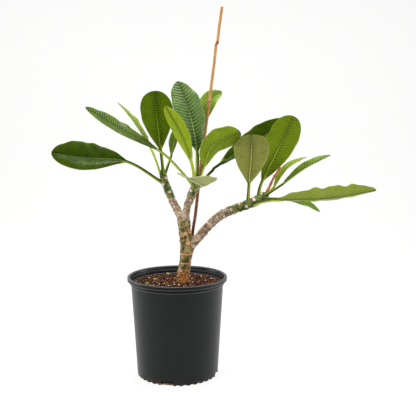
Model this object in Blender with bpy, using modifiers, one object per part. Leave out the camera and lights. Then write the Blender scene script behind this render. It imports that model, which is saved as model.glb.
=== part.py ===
"""Young plumeria plant in a round nursery pot, with a bamboo stake: the construction model.

Metres, +Z up. The origin is on the pot's axis, on the ground. +X is to the viewer's right and
+Y is away from the viewer.
"""
import math

import bmesh
import bpy
import numpy as np

# Driving dimensions -----------------------------------------------------------------------
GAP = 0.0003                  # clearance between two pieces that touch

POT_HEIGHT = 0.254
RIM_RADIUS = 0.127            # outside of the rolled lip
BAND_RADIUS = 0.120           # stiffening band under the lip
WALL_TOP_RADIUS = 0.1172      # outside of the wall under the band
FOOT_RADIUS = 0.1035
WALL = 0.0016
FLOOR = 0.0020
FOOT_STEP_RADIUS = 0.0945     # the floor steps up inside, outside this radius, over the foot teeth
FOOT_STEP_HEIGHT = 0.0062
LIP_HEIGHT = 0.0105
BAND_TOP = 0.2420
BAND_BOTTOM = 0.2340
POT_SIDES = 48

FOOT_TEETH = 36               # small recesses round the foot, which leave teeth between them
TOOTH_RECESS = (0.0060, 0.0085, 0.0040)     # depth, width, height
DRAIN_SLOTS = 4
DRAIN_SLOT = (0.006, 0.031, 0.010)          # depth, width, height
FIRST_SLOT_ANGLE = math.radians(-102.6)

SOIL_EDGE_HEIGHT = 0.2330
SOIL_CROWN_HEIGHT = 0.2370

STAKE_BASE_RADIUS = 0.0043
STAKE_TOP_RADIUS = 0.0036
STAKE_PATH = (
    (0.013, 0.008, 0.060), (0.027, 0.021, 0.240), (0.038, 0.036, 0.357), (0.048, 0.043, 0.430),
    (0.081, 0.050, 0.695), (0.098, 0.055, 0.815), (0.114, 0.060, 0.930),
)

# Trunk and branches: x, y, z and radius along each axis, from its lower end to its tip.
TRUNK = (
    (0.009, 0.000, 0.165, 0.0120), (0.012, 0.000, 0.232, 0.0148), (0.021, 0.000, 0.294, 0.0150),
    (0.0245, 0.000, 0.322, 0.0158), (0.0215, 0.000, 0.350, 0.0150), (0.019, 0.000, 0.375, 0.0145),
    (0.018, 0.000, 0.397, 0.0115),
)
BRANCHES = {
    "left": (
        (0.018, 0.000, 0.384, 0.0115), (0.011, 0.003, 0.402, 0.0112), (0.004, 0.008, 0.415, 0.0103),
        (-0.003, 0.013, 0.428, 0.0098), (-0.012, 0.018, 0.444, 0.0098), (-0.021, 0.025, 0.464, 0.0100),
        (-0.028, 0.030, 0.480, 0.0100), (-0.034, 0.035, 0.496, 0.0098), (-0.037, 0.039, 0.511, 0.0086),
        (-0.038, 0.041, 0.517, 0.0045),
    ),
    "middle": (
        (0.018, 0.000, 0.384, 0.0115), (0.021, -0.002, 0.402, 0.0103), (0.023, -0.004, 0.416, 0.0090),
        (0.026, -0.008, 0.432, 0.0092), (0.034, -0.015, 0.453, 0.0105), (0.041, -0.020, 0.470, 0.0110),
        (0.048, -0.025, 0.486, 0.0112), (0.052, -0.029, 0.500, 0.0098), (0.054, -0.031, 0.506, 0.0050),
    ),
    "right": (
        (0.024, 0.000, 0.322, 0.0120), (0.038, -0.001, 0.335, 0.0115), (0.052, -0.002, 0.350, 0.0115),
        (0.067, -0.004, 0.368, 0.0113), (0.083, -0.006, 0.386, 0.0112), (0.101, -0.008, 0.403, 0.0112),
        (0.121, -0.010, 0.416, 0.0112), (0.154, -0.014, 0.430, 0.0115), (0.181, -0.017, 0.440, 0.0118),
        (0.203, -0.019, 0.450, 0.0116), (0.219, -0.021, 0.460, 0.0100), (0.225, -0.022, 0.465, 0.0052),
    ),
}

PETIOLE_HALF_WIDTH = 0.0031
PETIOLE_HALF_THICKNESS = 0.0026
PETIOLE_BASE_SWELL = 1.35     # the petiole's base is this much thicker, where it clasps the branch
BLADE_HALF_THICKNESS = 0.0005
MIDRIB_DEPTH = 0.0022         # how far the midrib stands out under the blade
TIP_HALF_WIDTH = 0.0012
PETIOLE_RINGS = 5
BLADE_RINGS = 12

# Leaves: branch, distance of the base back from the branch's tip, the leaf's middle line (with the
# end of the petiole third from last, the middle of the blade and the tip), greatest width, the
# direction its upper side faces, the fold of each half above flat in degrees, and how full the
# blade is towards its base and towards its tip (a larger number is more pointed).
LEAVES = {
    "leaf_left_low": (
        "left", 0.030, ((-0.128, 0.035, 0.542), (-0.232, 0.030, 0.553), (-0.318, 0.020, 0.566)),
        0.090, (0.0, -0.8, 0.6), 18, 0.95, 0.60),
    "leaf_left_back": (
        "left", 0.014, ((-0.067, 0.056, 0.571), (-0.113, 0.075, 0.645), (-0.1595, 0.095, 0.695)),
        0.056, (0.78, -0.16, 0.56), 10, 1.0, 0.85),
    "leaf_left_broad": (
        "left", 0.012, ((-0.041, 0.022, 0.572), (-0.049, 0.003, 0.662), (-0.052, -0.012, 0.719)),
        0.082, (0.0, 0.95, 0.3), 10, 1.0, 0.50),
    "leaf_left_small": (
        "left", 0.008, ((-0.017, 0.060, 0.556), (-0.011, 0.074, 0.588), (-0.005, 0.088, 0.627)),
        0.034, (-0.6, -0.6, 0.5), 15, 1.0, 0.60),
    "leaf_middle_left": (
        "middle", 0.024, ((0.011, -0.045, 0.525), (-0.036, -0.055, 0.571), (-0.130, -0.062, 0.626),
                          (-0.214, -0.065, 0.678)),
        0.062, (0.4, -0.4, 0.83), 8, 1.0, 0.65),
    "leaf_middle_slim": (
        "middle", 0.012, ((0.038, -0.048, 0.546), (0.013, -0.068, 0.616), (-0.022, -0.092, 0.680)),
        0.046, (0.35, 0.75, 0.5), 12, 0.9, 0.60),
    "leaf_middle_tall": (
        "middle", 0.006, ((0.052, -0.020, 0.569), (0.032, 0.000, 0.667), (0.001, 0.030, 0.744)),
        0.076, (0.25, -0.93, 0.27), 12, 0.9, 0.62),
    "leaf_middle_back": (
        "middle", 0.010, ((0.052, 0.070, 0.610), (0.080, 0.105, 0.693), (0.114, 0.122, 0.724)),
        0.062, (-0.45, -0.75, 0.45), 15, 1.0, 0.60),
    "leaf_middle_broad": (
        "middle", 0.012, ((0.067, -0.042, 0.531), (0.090, -0.060, 0.586), (0.155, -0.080, 0.620)),
        0.067, (-0.35, 0.85, 0.4), 12, 0.9, 0.50),
    "leaf_middle_reaching": (
        "middle", 0.020, ((0.088, -0.020, 0.522), (0.107, -0.010, 0.538), (0.241, 0.040, 0.620),
                          (0.311, 0.050, 0.620)),
        0.066, (-0.2, -0.75, 0.6), 25, 0.8, 0.50),
    "leaf_middle_front": (
        "middle", 0.030, ((0.062, -0.075, 0.490), (0.052, -0.145, 0.506), (0.034, -0.205, 0.520)),
        0.104, (0.13, 0.22, 0.97), 26, 0.8, 0.60),
    "leaf_right_round": (
        "right", 0.052, ((0.179, -0.037, 0.491), (0.183, -0.062, 0.571), (0.179, -0.087, 0.613)),
        0.086, (0.0, 0.93, 0.35), 8, 1.0, 0.50),
    "leaf_right_broad": (
        "right", 0.024, ((0.213, -0.018, 0.497), (0.258, -0.018, 0.590), (0.288, -0.028, 0.657)),
        0.081, (-0.2, 0.97, 0.1), 10, 0.9, 0.47),
    "leaf_right_slim": (
        "right", 0.020, ((0.240, -0.006, 0.478), (0.278, 0.010, 0.527), (0.330, 0.030, 0.555)),
        0.050, (-0.6, -0.15, 0.75), 20, 0.9, 0.70),
    "leaf_right_long": (
        "right", 0.010, ((0.258, -0.037, 0.489), (0.315, -0.047, 0.531), (0.376, -0.052, 0.563)),
        0.045, (-0.5, -0.25, 0.8), 25, 0.9, 0.70),
    "leaf_right_low": (
        "right", 0.055, ((0.240, -0.034, 0.4505), (0.380, -0.034, 0.456), (0.494, -0.032, 0.475)),
        0.076, (0.0, 0.6, 0.8), 25, 0.8, 0.60),
    "leaf_right_under": (
        "right", 0.014, ((0.270, 0.010, 0.449), (0.325, 0.030, 0.435), (0.369, 0.042, 0.412)),
        0.048, (0.25, -0.35, 0.90), 15, 0.8, 0.65),
}

# Stumps of old flower stalks: branch, middle line beyond the tip, radius at the base and the end.
STALKS = {
    "flower_stalk": ("right", ((0.230, -0.022, 0.482), (0.241, -0.023, 0.506), (0.257, -0.025, 0.532)),
                     0.0036, 0.0026),
    "old_stalk_stub": ("left", ((-0.0385, 0.0405, 0.522), (-0.0395, 0.040, 0.528)), 0.0034, 0.0024),
}


# Scene and small helpers ------------------------------------------------------------------
for leftover in list(bpy.data.objects):
    bpy.data.objects.remove(leftover, do_unlink=True)


def new_collection(name):
    """Make a collection under the scene's own."""
    collection = bpy.data.collections.new(name)
    bpy.context.scene.collection.children.link(collection)
    return collection


PLANT = new_collection("potted_plumeria")
CUTTERS = new_collection("cutters")


def material(name, colour, roughness):
    """Make a plain Principled material."""
    made = bpy.data.materials.new(name)
    made.use_nodes = True
    shader = made.node_tree.nodes["Principled BSDF"]
    shader.inputs["Base Color"].default_value = (*colour, 1.0)
    shader.inputs["Roughness"].default_value = roughness
    shader.inputs["Metallic"].default_value = 0.0
    return made


def place(name, mesh, collection, finish=None):
    """Make an object of a mesh in a collection; a piece in CUTTERS never renders."""
    piece = bpy.data.objects.new(name, mesh)
    collection.objects.link(piece)
    if finish:
        piece.data.materials.append(finish)
        piece.data.shade_smooth()
        piece.data.set_sharp_from_angle(angle=math.radians(35))
    if collection is CUTTERS:
        piece.hide_render = True
        piece.display_type = "WIRE"
    return piece


def combine(piece, other, operation):
    """Add an exact Boolean of another object to a piece."""
    boolean = piece.modifiers.new(operation.lower(), "BOOLEAN")
    boolean.operation = operation
    boolean.solver = "EXACT"
    boolean.object = other


def mesh_from(faces_of, name):
    """Make a mesh from a function that fills a bmesh, with its faces turned outwards."""
    shape = bmesh.new()
    faces_of(shape)
    bmesh.ops.recalc_face_normals(shape, faces=shape.faces)
    mesh = bpy.data.meshes.new(name)
    shape.to_mesh(mesh)
    shape.free()
    return mesh


def smooth_path(points, steps):
    """Return a Catmull-Rom curve through rows of numbers, with some steps in each span."""
    rows = np.array(points, dtype=float)
    rows = np.vstack([2 * rows[0] - rows[1], rows, 2 * rows[-1] - rows[-2]])
    t = np.arange(steps)[:, None] / steps
    spans = []
    for a, b, c, d in zip(rows, rows[1:], rows[2:], rows[3:]):
        spans.append(b + 0.5 * t * (c - a) + t ** 2 * (a - 2.5 * b + 2 * c - 0.5 * d)
                     + 0.5 * t ** 3 * (3 * b - 3 * c + d - a))
    spans.append(rows[-2][None])
    return np.vstack(spans)


def arc_lengths(path):
    """Return the distance along a path at each of its points."""
    return np.concatenate([[0.0], np.cumsum(np.linalg.norm(np.diff(path[:, :3], axis=0), axis=1))])


def unit(vectors):
    """Scale each vector to length 1."""
    vectors = np.asarray(vectors, dtype=float)
    return vectors / np.linalg.norm(vectors, axis=-1, keepdims=True)


def tube(name, path, collection, finish=None, sides=12):
    """Make a closed tube mesh along rows of x, y, z and radius, from a bevelled curve."""
    curve = bpy.data.curves.new(name, "CURVE")
    curve.dimensions = "3D"
    curve.bevel_depth = 1.0
    curve.bevel_resolution = (sides - 4) // 2
    curve.use_fill_caps = True
    spline = curve.splines.new("POLY")
    spline.points.add(len(path) - 1)
    for point, (x, y, z, radius) in zip(spline.points, path):
        point.co = (x, y, z, 1.0)
        point.radius = radius
    guide = bpy.data.objects.new(name + "_curve", curve)
    CUTTERS.objects.link(guide)
    evaluated = guide.evaluated_get(bpy.context.evaluated_depsgraph_get())
    raw = bpy.data.meshes.new_from_object(evaluated)
    bpy.data.objects.remove(guide, do_unlink=True)

    def welded(shape):
        shape.from_mesh(raw)
        bmesh.ops.remove_doubles(shape, verts=shape.verts, dist=0.00001)

    return place(name, mesh_from(welded, name), collection, finish)


# Nursery pot ------------------------------------------------------------------------------
def turned(name, profile, collection, finish=None):
    """Turn a profile of (radius, z) about +Z with a Screw modifier."""
    mesh = bpy.data.meshes.new(name)
    mesh.from_pydata([(radius, 0.0, z) for radius, z in profile],
                     [(i, i + 1) for i in range(len(profile) - 1)], [])
    piece = place(name, mesh, collection, finish)
    screw = piece.modifiers.new("turn", "SCREW")
    screw.steps = POT_SIDES
    screw.render_steps = POT_SIDES
    screw.use_merge_vertices = True
    screw.merge_threshold = 0.00001
    return piece


def wall_inside(z):
    """Return the radius of the pot's inner wall at a height."""
    outside = FOOT_RADIUS + (WALL_TOP_RADIUS - FOOT_RADIUS) * z / BAND_BOTTOM
    return outside - WALL


def block_ring(name, count, first_angle, size):
    """Make a cutter of equal blocks round the foot; size is depth into it, width and height."""
    depth, width, height = size

    def blocks(shape):
        for index in range(count):
            angle = first_angle + 2 * math.pi * index / count
            made = bmesh.ops.create_cube(shape, size=1.0)["verts"]
            for vert in made:
                along = FOOT_RADIUS + vert.co.x * 2 * depth
                across = vert.co.y * width
                up = (vert.co.z + 0.5) * (height + 0.002) - 0.002
                vert.co = (along * math.cos(angle) - across * math.sin(angle),
                           along * math.sin(angle) + across * math.cos(angle), up)

    return place(name, mesh_from(blocks, name), CUTTERS)


lip_bottom = POT_HEIGHT - LIP_HEIGHT
collar_inside = BAND_RADIUS - 2 * WALL + 0.001
pot_profile = (
    (0.0, FLOOR),
    (FOOT_STEP_RADIUS, FLOOR),
    (FOOT_STEP_RADIUS + 0.001, FOOT_STEP_HEIGHT),
    (wall_inside(FOOT_STEP_HEIGHT), FOOT_STEP_HEIGHT),
    (wall_inside(BAND_BOTTOM - 0.001), BAND_BOTTOM - 0.001),
    (collar_inside, BAND_BOTTOM + 0.001),
    (collar_inside + 0.001, POT_HEIGHT - 0.003),
    (RIM_RADIUS - 0.006, POT_HEIGHT - 0.0005),
    (RIM_RADIUS - 0.0035, POT_HEIGHT),
    (RIM_RADIUS - 0.0008, POT_HEIGHT - 0.0008),
    (RIM_RADIUS, POT_HEIGHT - 0.003),
    (RIM_RADIUS, lip_bottom + 0.0015),
    (RIM_RADIUS - 0.001, lip_bottom),
    (BAND_RADIUS - 0.001, lip_bottom - 0.0005),
    (BAND_RADIUS, BAND_TOP - 0.001),
    (BAND_RADIUS, BAND_BOTTOM + 0.0008),
    (WALL_TOP_RADIUS, BAND_BOTTOM),
    (FOOT_RADIUS, 0.0015),
    (FOOT_RADIUS - 0.001, 0.0),
    (0.0, 0.0),
)
pot = turned("nursery_pot", pot_profile, PLANT, material("black_plastic", (0.028, 0.029, 0.031), 0.42))
teeth = block_ring("tooth_cutter", FOOT_TEETH, FIRST_SLOT_ANGLE + math.pi / FOOT_TEETH, TOOTH_RECESS)
combine(pot, teeth, "DIFFERENCE")
slots = block_ring("drain_cutter", DRAIN_SLOTS, FIRST_SLOT_ANGLE, DRAIN_SLOT)
combine(pot, slots, "DIFFERENCE")


# Stem: a trunk and three branches grown as one piece -----------------------------------------
def grown(path, extra):
    """Return a smoothed axis with its radii made larger by a clearance."""
    rows = smooth_path(path, 2)
    rows[:, 3] += extra
    return rows


def make_stem(name, collection, extra, finish=None):
    """Join the trunk and the branches into one closed solid."""
    trunk = tube(name, grown(TRUNK, extra), collection, finish)
    for side, path in BRANCHES.items():
        limb = tube(f"{name}_{side}", grown(path, extra), CUTTERS)
        combine(trunk, limb, "UNION")
    return trunk


stem = make_stem("stem", PLANT, 0.0, material("plumeria_bark", (0.30, 0.26, 0.19), 0.75))
stem_clearance = make_stem("stem_clearance", CUTTERS, GAP)


# Bamboo stake --------------------------------------------------------------------------------
def stake_rows(extra):
    """Return the stake's axis with its radius made larger by a clearance."""
    line = smooth_path(STAKE_PATH, 2)
    share = (line[:, 2] - line[0, 2]) / (line[-1, 2] - line[0, 2])
    radius = STAKE_BASE_RADIUS + (STAKE_TOP_RADIUS - STAKE_BASE_RADIUS) * share
    return np.column_stack([line, radius + extra])


stake = tube("bamboo_stake", stake_rows(0.0), PLANT, material("bamboo", (0.50, 0.24, 0.11), 0.55), 8)
stake_clearance = tube("stake_clearance", stake_rows(GAP), CUTTERS, None, 8)


# Potting soil --------------------------------------------------------------------------------
soil_profile = (
    (0.0, SOIL_CROWN_HEIGHT),
    (0.060, SOIL_CROWN_HEIGHT - 0.0008),
    (0.100, SOIL_EDGE_HEIGHT + 0.001),
    (wall_inside(BAND_BOTTOM) - 0.0010, SOIL_EDGE_HEIGHT - 0.0010),
    (wall_inside(SOIL_EDGE_HEIGHT - 0.005) - GAP, SOIL_EDGE_HEIGHT - 0.005),
    (wall_inside(FOOT_STEP_HEIGHT) - GAP, FOOT_STEP_HEIGHT + GAP),
    (FOOT_STEP_RADIUS + 0.001 - GAP, FOOT_STEP_HEIGHT + GAP),
    (FOOT_STEP_RADIUS - GAP, FLOOR + GAP),
    (0.0, FLOOR + GAP),
)
soil = turned("potting_soil", soil_profile, PLANT, material("bark_mix", (0.12, 0.045, 0.022), 0.9))
combine(soil, stem_clearance, "DIFFERENCE")
combine(soil, stake_clearance, "DIFFERENCE")


# Leaves --------------------------------------------------------------------------------------
def branch_place(side, back):
    """Return the axis point and the radius of a branch at a distance back from its tip."""
    rows = smooth_path(BRANCHES[side], 8)[::-1]
    away = arc_lengths(rows)
    return np.array([np.interp(back, away, rows[:, k]) for k in range(4)])


def base_point(side, back, towards):
    """Return a point inside a branch, halfway out to the side that a stalk leaves it from."""
    x, y, z, radius = branch_place(side, back)
    axis_point = np.array([x, y, z])
    along = unit(axis_point - branch_place(side, back + 0.004)[:3])
    outward = np.array(towards) - axis_point
    outward = unit(outward - along * (outward @ along))
    return axis_point + outward * radius * 0.5


def loft(name, rings, finish):
    """Skin a list of rings of points, close both ends and make an object of it."""
    def skin(shape):
        loops = [[shape.verts.new(point) for point in ring] for ring in rings]
        count = len(loops[0])
        for low, high in zip(loops, loops[1:]):
            for k in range(count):
                shape.faces.new((low[k], low[(k + 1) % count], high[(k + 1) % count], high[k]))
        shape.faces.new(loops[0][::-1])
        shape.faces.new(loops[-1])
        bmesh.ops.triangulate(shape, faces=shape.faces)

    return place(name, mesh_from(skin, name), PLANT, finish)


def leaf_rings(side, back, line, width, face, fold, base_fullness, tip_fullness):
    """Return the eight-point rings of a leaf, from a round petiole to a flat folded blade."""
    base = base_point(side, back, line[0])
    path = smooth_path((base, *line), 24)
    length = arc_lengths(path)
    blade_start = length[-1 - 2 * 24]
    petiole = np.linspace(0.0, blade_start, PETIOLE_RINGS, endpoint=False)
    blade = 0.5 - 0.5 * np.cos(np.linspace(0.0, math.pi, BLADE_RINGS))
    stations = np.concatenate([petiole, blade_start + (length[-1] - blade_start) * blade])
    centres = np.column_stack([np.interp(stations, length, path[:, k]) for k in range(3)])
    along = unit(np.gradient(centres, stations, axis=0))
    across = unit(np.cross(along, np.array(face)))
    up = np.cross(across, along)
    t = np.concatenate([np.zeros(PETIOLE_RINGS), blade])
    widest = base_fullness / (base_fullness + tip_fullness)
    outline = (t / widest) ** base_fullness * ((1.0 - t) / (1.0 - widest)) ** tip_fullness
    swell = 1.0 + (PETIOLE_BASE_SWELL - 1.0) * np.clip(1.0 - stations / 0.03, 0.0, 1.0)
    stalk = np.clip(1.0 - t * 4.0, 0.0, 1.0)
    half_width = np.maximum(width / 2 * outline, PETIOLE_HALF_WIDTH * swell * (1.0 - t) ** 2)
    half_width = np.maximum(half_width, TIP_HALF_WIDTH)
    stalk_depth = PETIOLE_HALF_THICKNESS * swell
    rings = []
    for k in range(len(stations)):
        tilt = math.radians(fold) * (1.0 - stalk[k])
        wing = half_width[k]
        thick = BLADE_HALF_THICKNESS + (stalk_depth[k] - BLADE_HALF_THICKNESS) * stalk[k]
        rib = max(thick, MIDRIB_DEPTH * (1.0 - t[k]))
        shoulder = 0.5 + 0.2 * stalk[k]
        rings.append([
            centres[k] + across[k] * a * wing * math.cos(tilt) + up[k] * (abs(a) * wing * math.sin(tilt) + b)
            for a, b in ((-1, 0), (-shoulder, 0.75 * thick), (0, thick), (shoulder, 0.75 * thick),
                         (1, 0), (shoulder, -0.75 * thick), (0, -rib), (-shoulder, -0.75 * thick))
        ])
    return rings


leaf_finish = {
    "left": material("leaf_green_left", (0.075, 0.165, 0.022), 0.35),
    "middle": material("leaf_green_middle", (0.080, 0.175, 0.040), 0.35),
    "right": material("leaf_green_right", (0.095, 0.190, 0.035), 0.38),
}
for leaf_name, leaf_shape in LEAVES.items():
    leaf = loft(leaf_name, leaf_rings(*leaf_shape), leaf_finish[leaf_shape[0]])
    combine(leaf, stem_clearance, "DIFFERENCE")


# Stumps of old flower stalks -----------------------------------------------------------------
stalk_finish = material("dry_stalk", (0.20, 0.055, 0.030), 0.7)
for stalk_name, (side, line, base_radius, end_radius) in STALKS.items():
    root = branch_place(side, 0.008)[:3]
    rows = smooth_path((root, *line), 3)
    radii = np.linspace(base_radius, end_radius, len(rows))
    stump = tube(stalk_name, np.column_stack([rows, radii]), PLANT, stalk_finish, 8)
    combine(stump, stem_clearance, "DIFFERENCE")
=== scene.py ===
"""A young plumeria in a nursery pot: its surfaces and finishes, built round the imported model.

Metres, +Z up. The origin is under the middle of the pot, +X is to the viewer's right and +Y away.
"""

import math

import bpy
import numpy as np
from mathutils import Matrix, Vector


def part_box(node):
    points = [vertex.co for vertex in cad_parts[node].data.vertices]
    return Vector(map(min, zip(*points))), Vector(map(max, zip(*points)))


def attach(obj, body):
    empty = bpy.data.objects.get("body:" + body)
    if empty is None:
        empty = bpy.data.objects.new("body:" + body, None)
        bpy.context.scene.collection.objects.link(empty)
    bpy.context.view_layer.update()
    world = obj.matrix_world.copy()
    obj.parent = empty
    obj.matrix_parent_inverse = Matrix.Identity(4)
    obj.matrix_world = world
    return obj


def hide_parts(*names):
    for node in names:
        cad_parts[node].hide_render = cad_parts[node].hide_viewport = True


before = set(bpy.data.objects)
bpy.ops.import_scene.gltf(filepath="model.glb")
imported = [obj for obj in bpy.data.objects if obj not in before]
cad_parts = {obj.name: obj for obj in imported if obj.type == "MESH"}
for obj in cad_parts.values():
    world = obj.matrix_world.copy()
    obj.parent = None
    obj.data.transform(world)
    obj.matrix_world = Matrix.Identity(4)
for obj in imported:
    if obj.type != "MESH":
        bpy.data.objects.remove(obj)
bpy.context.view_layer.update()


# Nursery pot -----------------------------------------------
# One thin moulding of black polypropylene: a rolled lip, a stiffening band, a tapered wall and a
# foot of small teeth with four drain slots. It is a profile carried round +Z as rows of points,
# with the teeth pressed into its lowest rows and the slots left out of both its faces.

pot_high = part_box("nursery_pot")[1]
POT_HEIGHT = pot_high.z
RIM_RADIUS = pot_high.x
BAND_RADIUS = 0.120
WALL_TOP_RADIUS = 0.1172
FOOT_RADIUS = 0.1035
WALL = 0.0016
FLOOR = 0.0020
FOOT_STEP_RADIUS = 0.0945
FOOT_STEP_HEIGHT = 0.0062
LIP_BOTTOM = POT_HEIGHT - 0.0105
BAND_TOP = 0.2420
BAND_BOTTOM = 0.2340
COLLAR_INSIDE = BAND_RADIUS - 2 * WALL + 0.001
FIRST_SLOT_ANGLE = -102.6           # degrees from +X
TOOTH_PITCH = 10.0
TOOTH_COUNT = 36
TOOTH_HEIGHT = 0.0040
RECESS_HALF_ANGLE = 2.35
RECESS_RADIUS = FOOT_RADIUS - 0.0060
SLOT_TOP = 0.0100
EDGE_HIGHLIGHT_HEIGHTS = (0.2352, 0.2425, 0.2450, 0.2530)     # heights of corners that carry a painted highlight
EDGE_HIGHLIGHT_REACH = 0.0009
SLOT_LIGHT_HALF_WIDTH = 0.0180           # painted light lies this far to each side of a slot's middle
SLOT_LIGHT_HEIGHT = 0.0038
HUB_RADIUS = 0.0008                 # the last small ring before the middle, closed by one face


class Socket:
    """A value in a shader. Arithmetic on it adds Math nodes to its finish."""

    def __init__(self, finish, link):
        self.finish = finish
        self.link = link

    def math(self, operation, first, second=0.0):
        """Add one Math node."""
        return self.finish.node("ShaderNodeMath", {"operation": operation}, {0: first, 1: second})

    def __add__(self, other):
        return self.math("ADD", self, other)

    def __sub__(self, other):
        return self.math("SUBTRACT", self, other)

    def __rsub__(self, other):
        return self.math("SUBTRACT", other, self)

    def __mul__(self, other):
        return self.math("MULTIPLY", self, other)

    def __truediv__(self, other):
        return self.math("DIVIDE", self, other)

    __radd__ = __add__
    __rmul__ = __mul__

    def __abs__(self):
        return self.math("ABSOLUTE", self)


class Finish:
    """A Principled material that isn't a metal. node() makes every node in it."""

    def __init__(self, name, **constants):
        self.material = bpy.data.materials.new(name)
        self.material.use_nodes = True
        self.tree = self.material.node_tree
        self.shader = self.tree.nodes["Principled BSDF"]
        self.position = self.node("ShaderNodeTexCoord", {}, {}, "Object")
        self.shade(metallic=0.0, **constants)

    def feed(self, made, inputs):
        """Give a node's sockets their values or links."""
        for key, value in inputs.items():
            socket = made.inputs[key]
            if isinstance(value, Socket):
                self.tree.links.new(value.link, socket)
            elif socket.type == "RGBA":
                socket.default_value = (*value[:3], 1.0)
            else:
                socket.default_value = value

    def node(self, kind, settings, inputs, output=0):
        """Add a node of a kind, set it up, feed it and return one of its outputs."""
        made = self.tree.nodes.new(kind)
        for key, value in settings.items():
            setattr(made, key, value)
        self.feed(made, inputs)
        return Socket(self, made.outputs[output])

    def noise(self, scale, detail=3.0, roughness=0.55, where=None):
        """Add a noise of so many cells to a metre."""
        inputs = {"Vector": where or self.position, "Scale": scale, "Detail": detail,
                  "Roughness": roughness}
        return self.node("ShaderNodeTexNoise", {}, inputs)

    def height(self):
        """Return the position's Z."""
        return self.node("ShaderNodeSeparateXYZ", {}, {0: self.position}, 2)

    def stretched(self, x, y, z):
        """Return the position with each direction scaled."""
        return self.node("ShaderNodeMapping", {}, {"Vector": self.position, "Scale": (x, y, z)})

    def rise(self, value, low, high):
        """Return 0 below low, 1 above high and a smooth step between them."""
        inputs = {"Value": value, "From Min": low, "From Max": high}
        return self.node("ShaderNodeMapRange", {"interpolation_type": "SMOOTHSTEP"}, inputs)

    def mix(self, factor, first, second):
        """Blend two colours."""
        inputs = {0: factor, 6: first, 7: second}
        return self.node("ShaderNodeMix", {"data_type": "RGBA"}, inputs, 2)

    def paint(self, base, *coats):
        """Lay coats over a colour in turn. Each is how much of it shows and its colour."""
        for factor, colour in coats:
            base = self.mix(factor, base, colour)
        return base

    def attribute(self, name, output="Fac"):
        """Read a value stored on the mesh."""
        return self.node("ShaderNodeAttribute", {"attribute_name": name}, {}, output)

    def bump(self, height, distance, strength=1.0, below=None):
        """Add a bump, of so many metres for a height of 1, on top of another one."""
        inputs = {"Height": height, "Distance": distance, "Strength": strength}
        if below:
            inputs["Normal"] = below
        return self.node("ShaderNodeBump", {}, inputs)

    def shade(self, **sockets):
        """Feed the shader's own sockets, named in small letters."""
        names = [socket.name for socket in self.shader.inputs]
        named = {name.lower().replace(" ", "_"): name for name in names}
        self.feed(self.shader, {named[key]: value for key, value in sockets.items()})
        return self.material


def unit(vectors):
    """Scale each vector to length 1."""
    vectors = np.asarray(vectors, dtype=float)
    return vectors / np.linalg.norm(vectors, axis=-1, keepdims=True)


def clamp(values):
    """Keep values within 0 and 1."""
    return np.clip(values, 0.0, 1.0)


def bell(offset, reach):
    """Return exp(-(offset / reach)^2), which is 1 where the offset is 0."""
    return np.exp(-(offset / reach) ** 2)


def circle(count):
    """Return so many angles, evenly spaced round a circle."""
    return np.linspace(0.0, 2 * math.pi, count, endpoint=False)


def grid_faces(rows, columns, wrap_columns=True):
    """Return the four corners of each face of a grid of points, row by row."""
    row = np.arange(rows - 1)[:, None]
    column = np.arange(columns if wrap_columns else columns - 1)[None, :]
    next_column = (column + 1) % columns
    start = row * columns
    end = start + columns
    return np.stack([start + column, start + next_column, end + next_column, end + column], axis=-1)


def end_faces(rows, columns):
    """Return the two faces that close the first and the last row of a wrapped grid."""
    first = list(range(columns))[::-1]
    last = [(rows - 1) * columns + k for k in range(columns)]
    return [first, last]


def closed_faces(rows, columns):
    """Return the faces of a wrapped grid and the two that close its ends."""
    return grid_faces(rows, columns).reshape(-1, 4).tolist() + end_faces(rows, columns)


def shifted(faces, offset):
    """Return faces with every index raised by an offset."""
    return [[index + offset for index in face] for face in faces]


def round_z(radius, angle, z):
    """Return points at a radius, an angle and a height round +Z."""
    return np.stack(np.broadcast_arrays(radius * np.cos(angle), radius * np.sin(angle), z), axis=-1)


def surface(name, points, faces, finish, **values):
    """Make a smooth object of points and faces, with named values stored at its points."""
    mesh = bpy.data.meshes.new(name)
    mesh.from_pydata(np.reshape(points, (-1, 3)).tolist(), [], faces)
    mesh.shade_smooth()
    for key, value in values.items():
        value = np.asarray(value, dtype=np.float32)
        if value.ndim == 1:
            mesh.attributes.new(key, "FLOAT", "POINT").data.foreach_set("value", value)
        else:
            stored = mesh.attributes.new(key, "FLOAT_VECTOR", "POINT")
            stored.data.foreach_set("vector", value.ravel())
    mesh.materials.append(finish)
    piece = bpy.data.objects.new(name, mesh)
    bpy.context.scene.collection.objects.link(piece)
    return piece


def install(piece, slot, *nodes):
    """Fix a piece to the plant's one body, in place of its construction nodes."""
    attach(piece, "root")
    if nodes:
        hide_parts(*nodes)


def wall_outside(z):
    """Return the radius of the tapered wall's outer face at a height."""
    return FOOT_RADIUS + (WALL_TOP_RADIUS - FOOT_RADIUS) * z / BAND_BOTTOM


def wall_inside(z):
    """Return the radius of the tapered wall's inner face at a height."""
    return wall_outside(z) - WALL


def rounded(corners, steps=5):
    """Round a profile's corners. Each is radius, height and how far from it the rounding starts;
    between the rounding's ends A and B runs the parabola (1-t)^2 A + 2t(1-t) corner + t^2 B."""
    rows = []
    for before, corner, after in zip(corners, corners[1:], corners[2:]):
        here = np.array(corner[:2])
        start = here + corner[2] * unit(np.array(before[:2]) - here)
        end = here + corner[2] * unit(np.array(after[:2]) - here)
        for t in np.linspace(0.0, 1.0, steps):
            rows.append(tuple((1 - t) ** 2 * start + 2 * t * (1 - t) * here + t ** 2 * end))
    return rows


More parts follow.
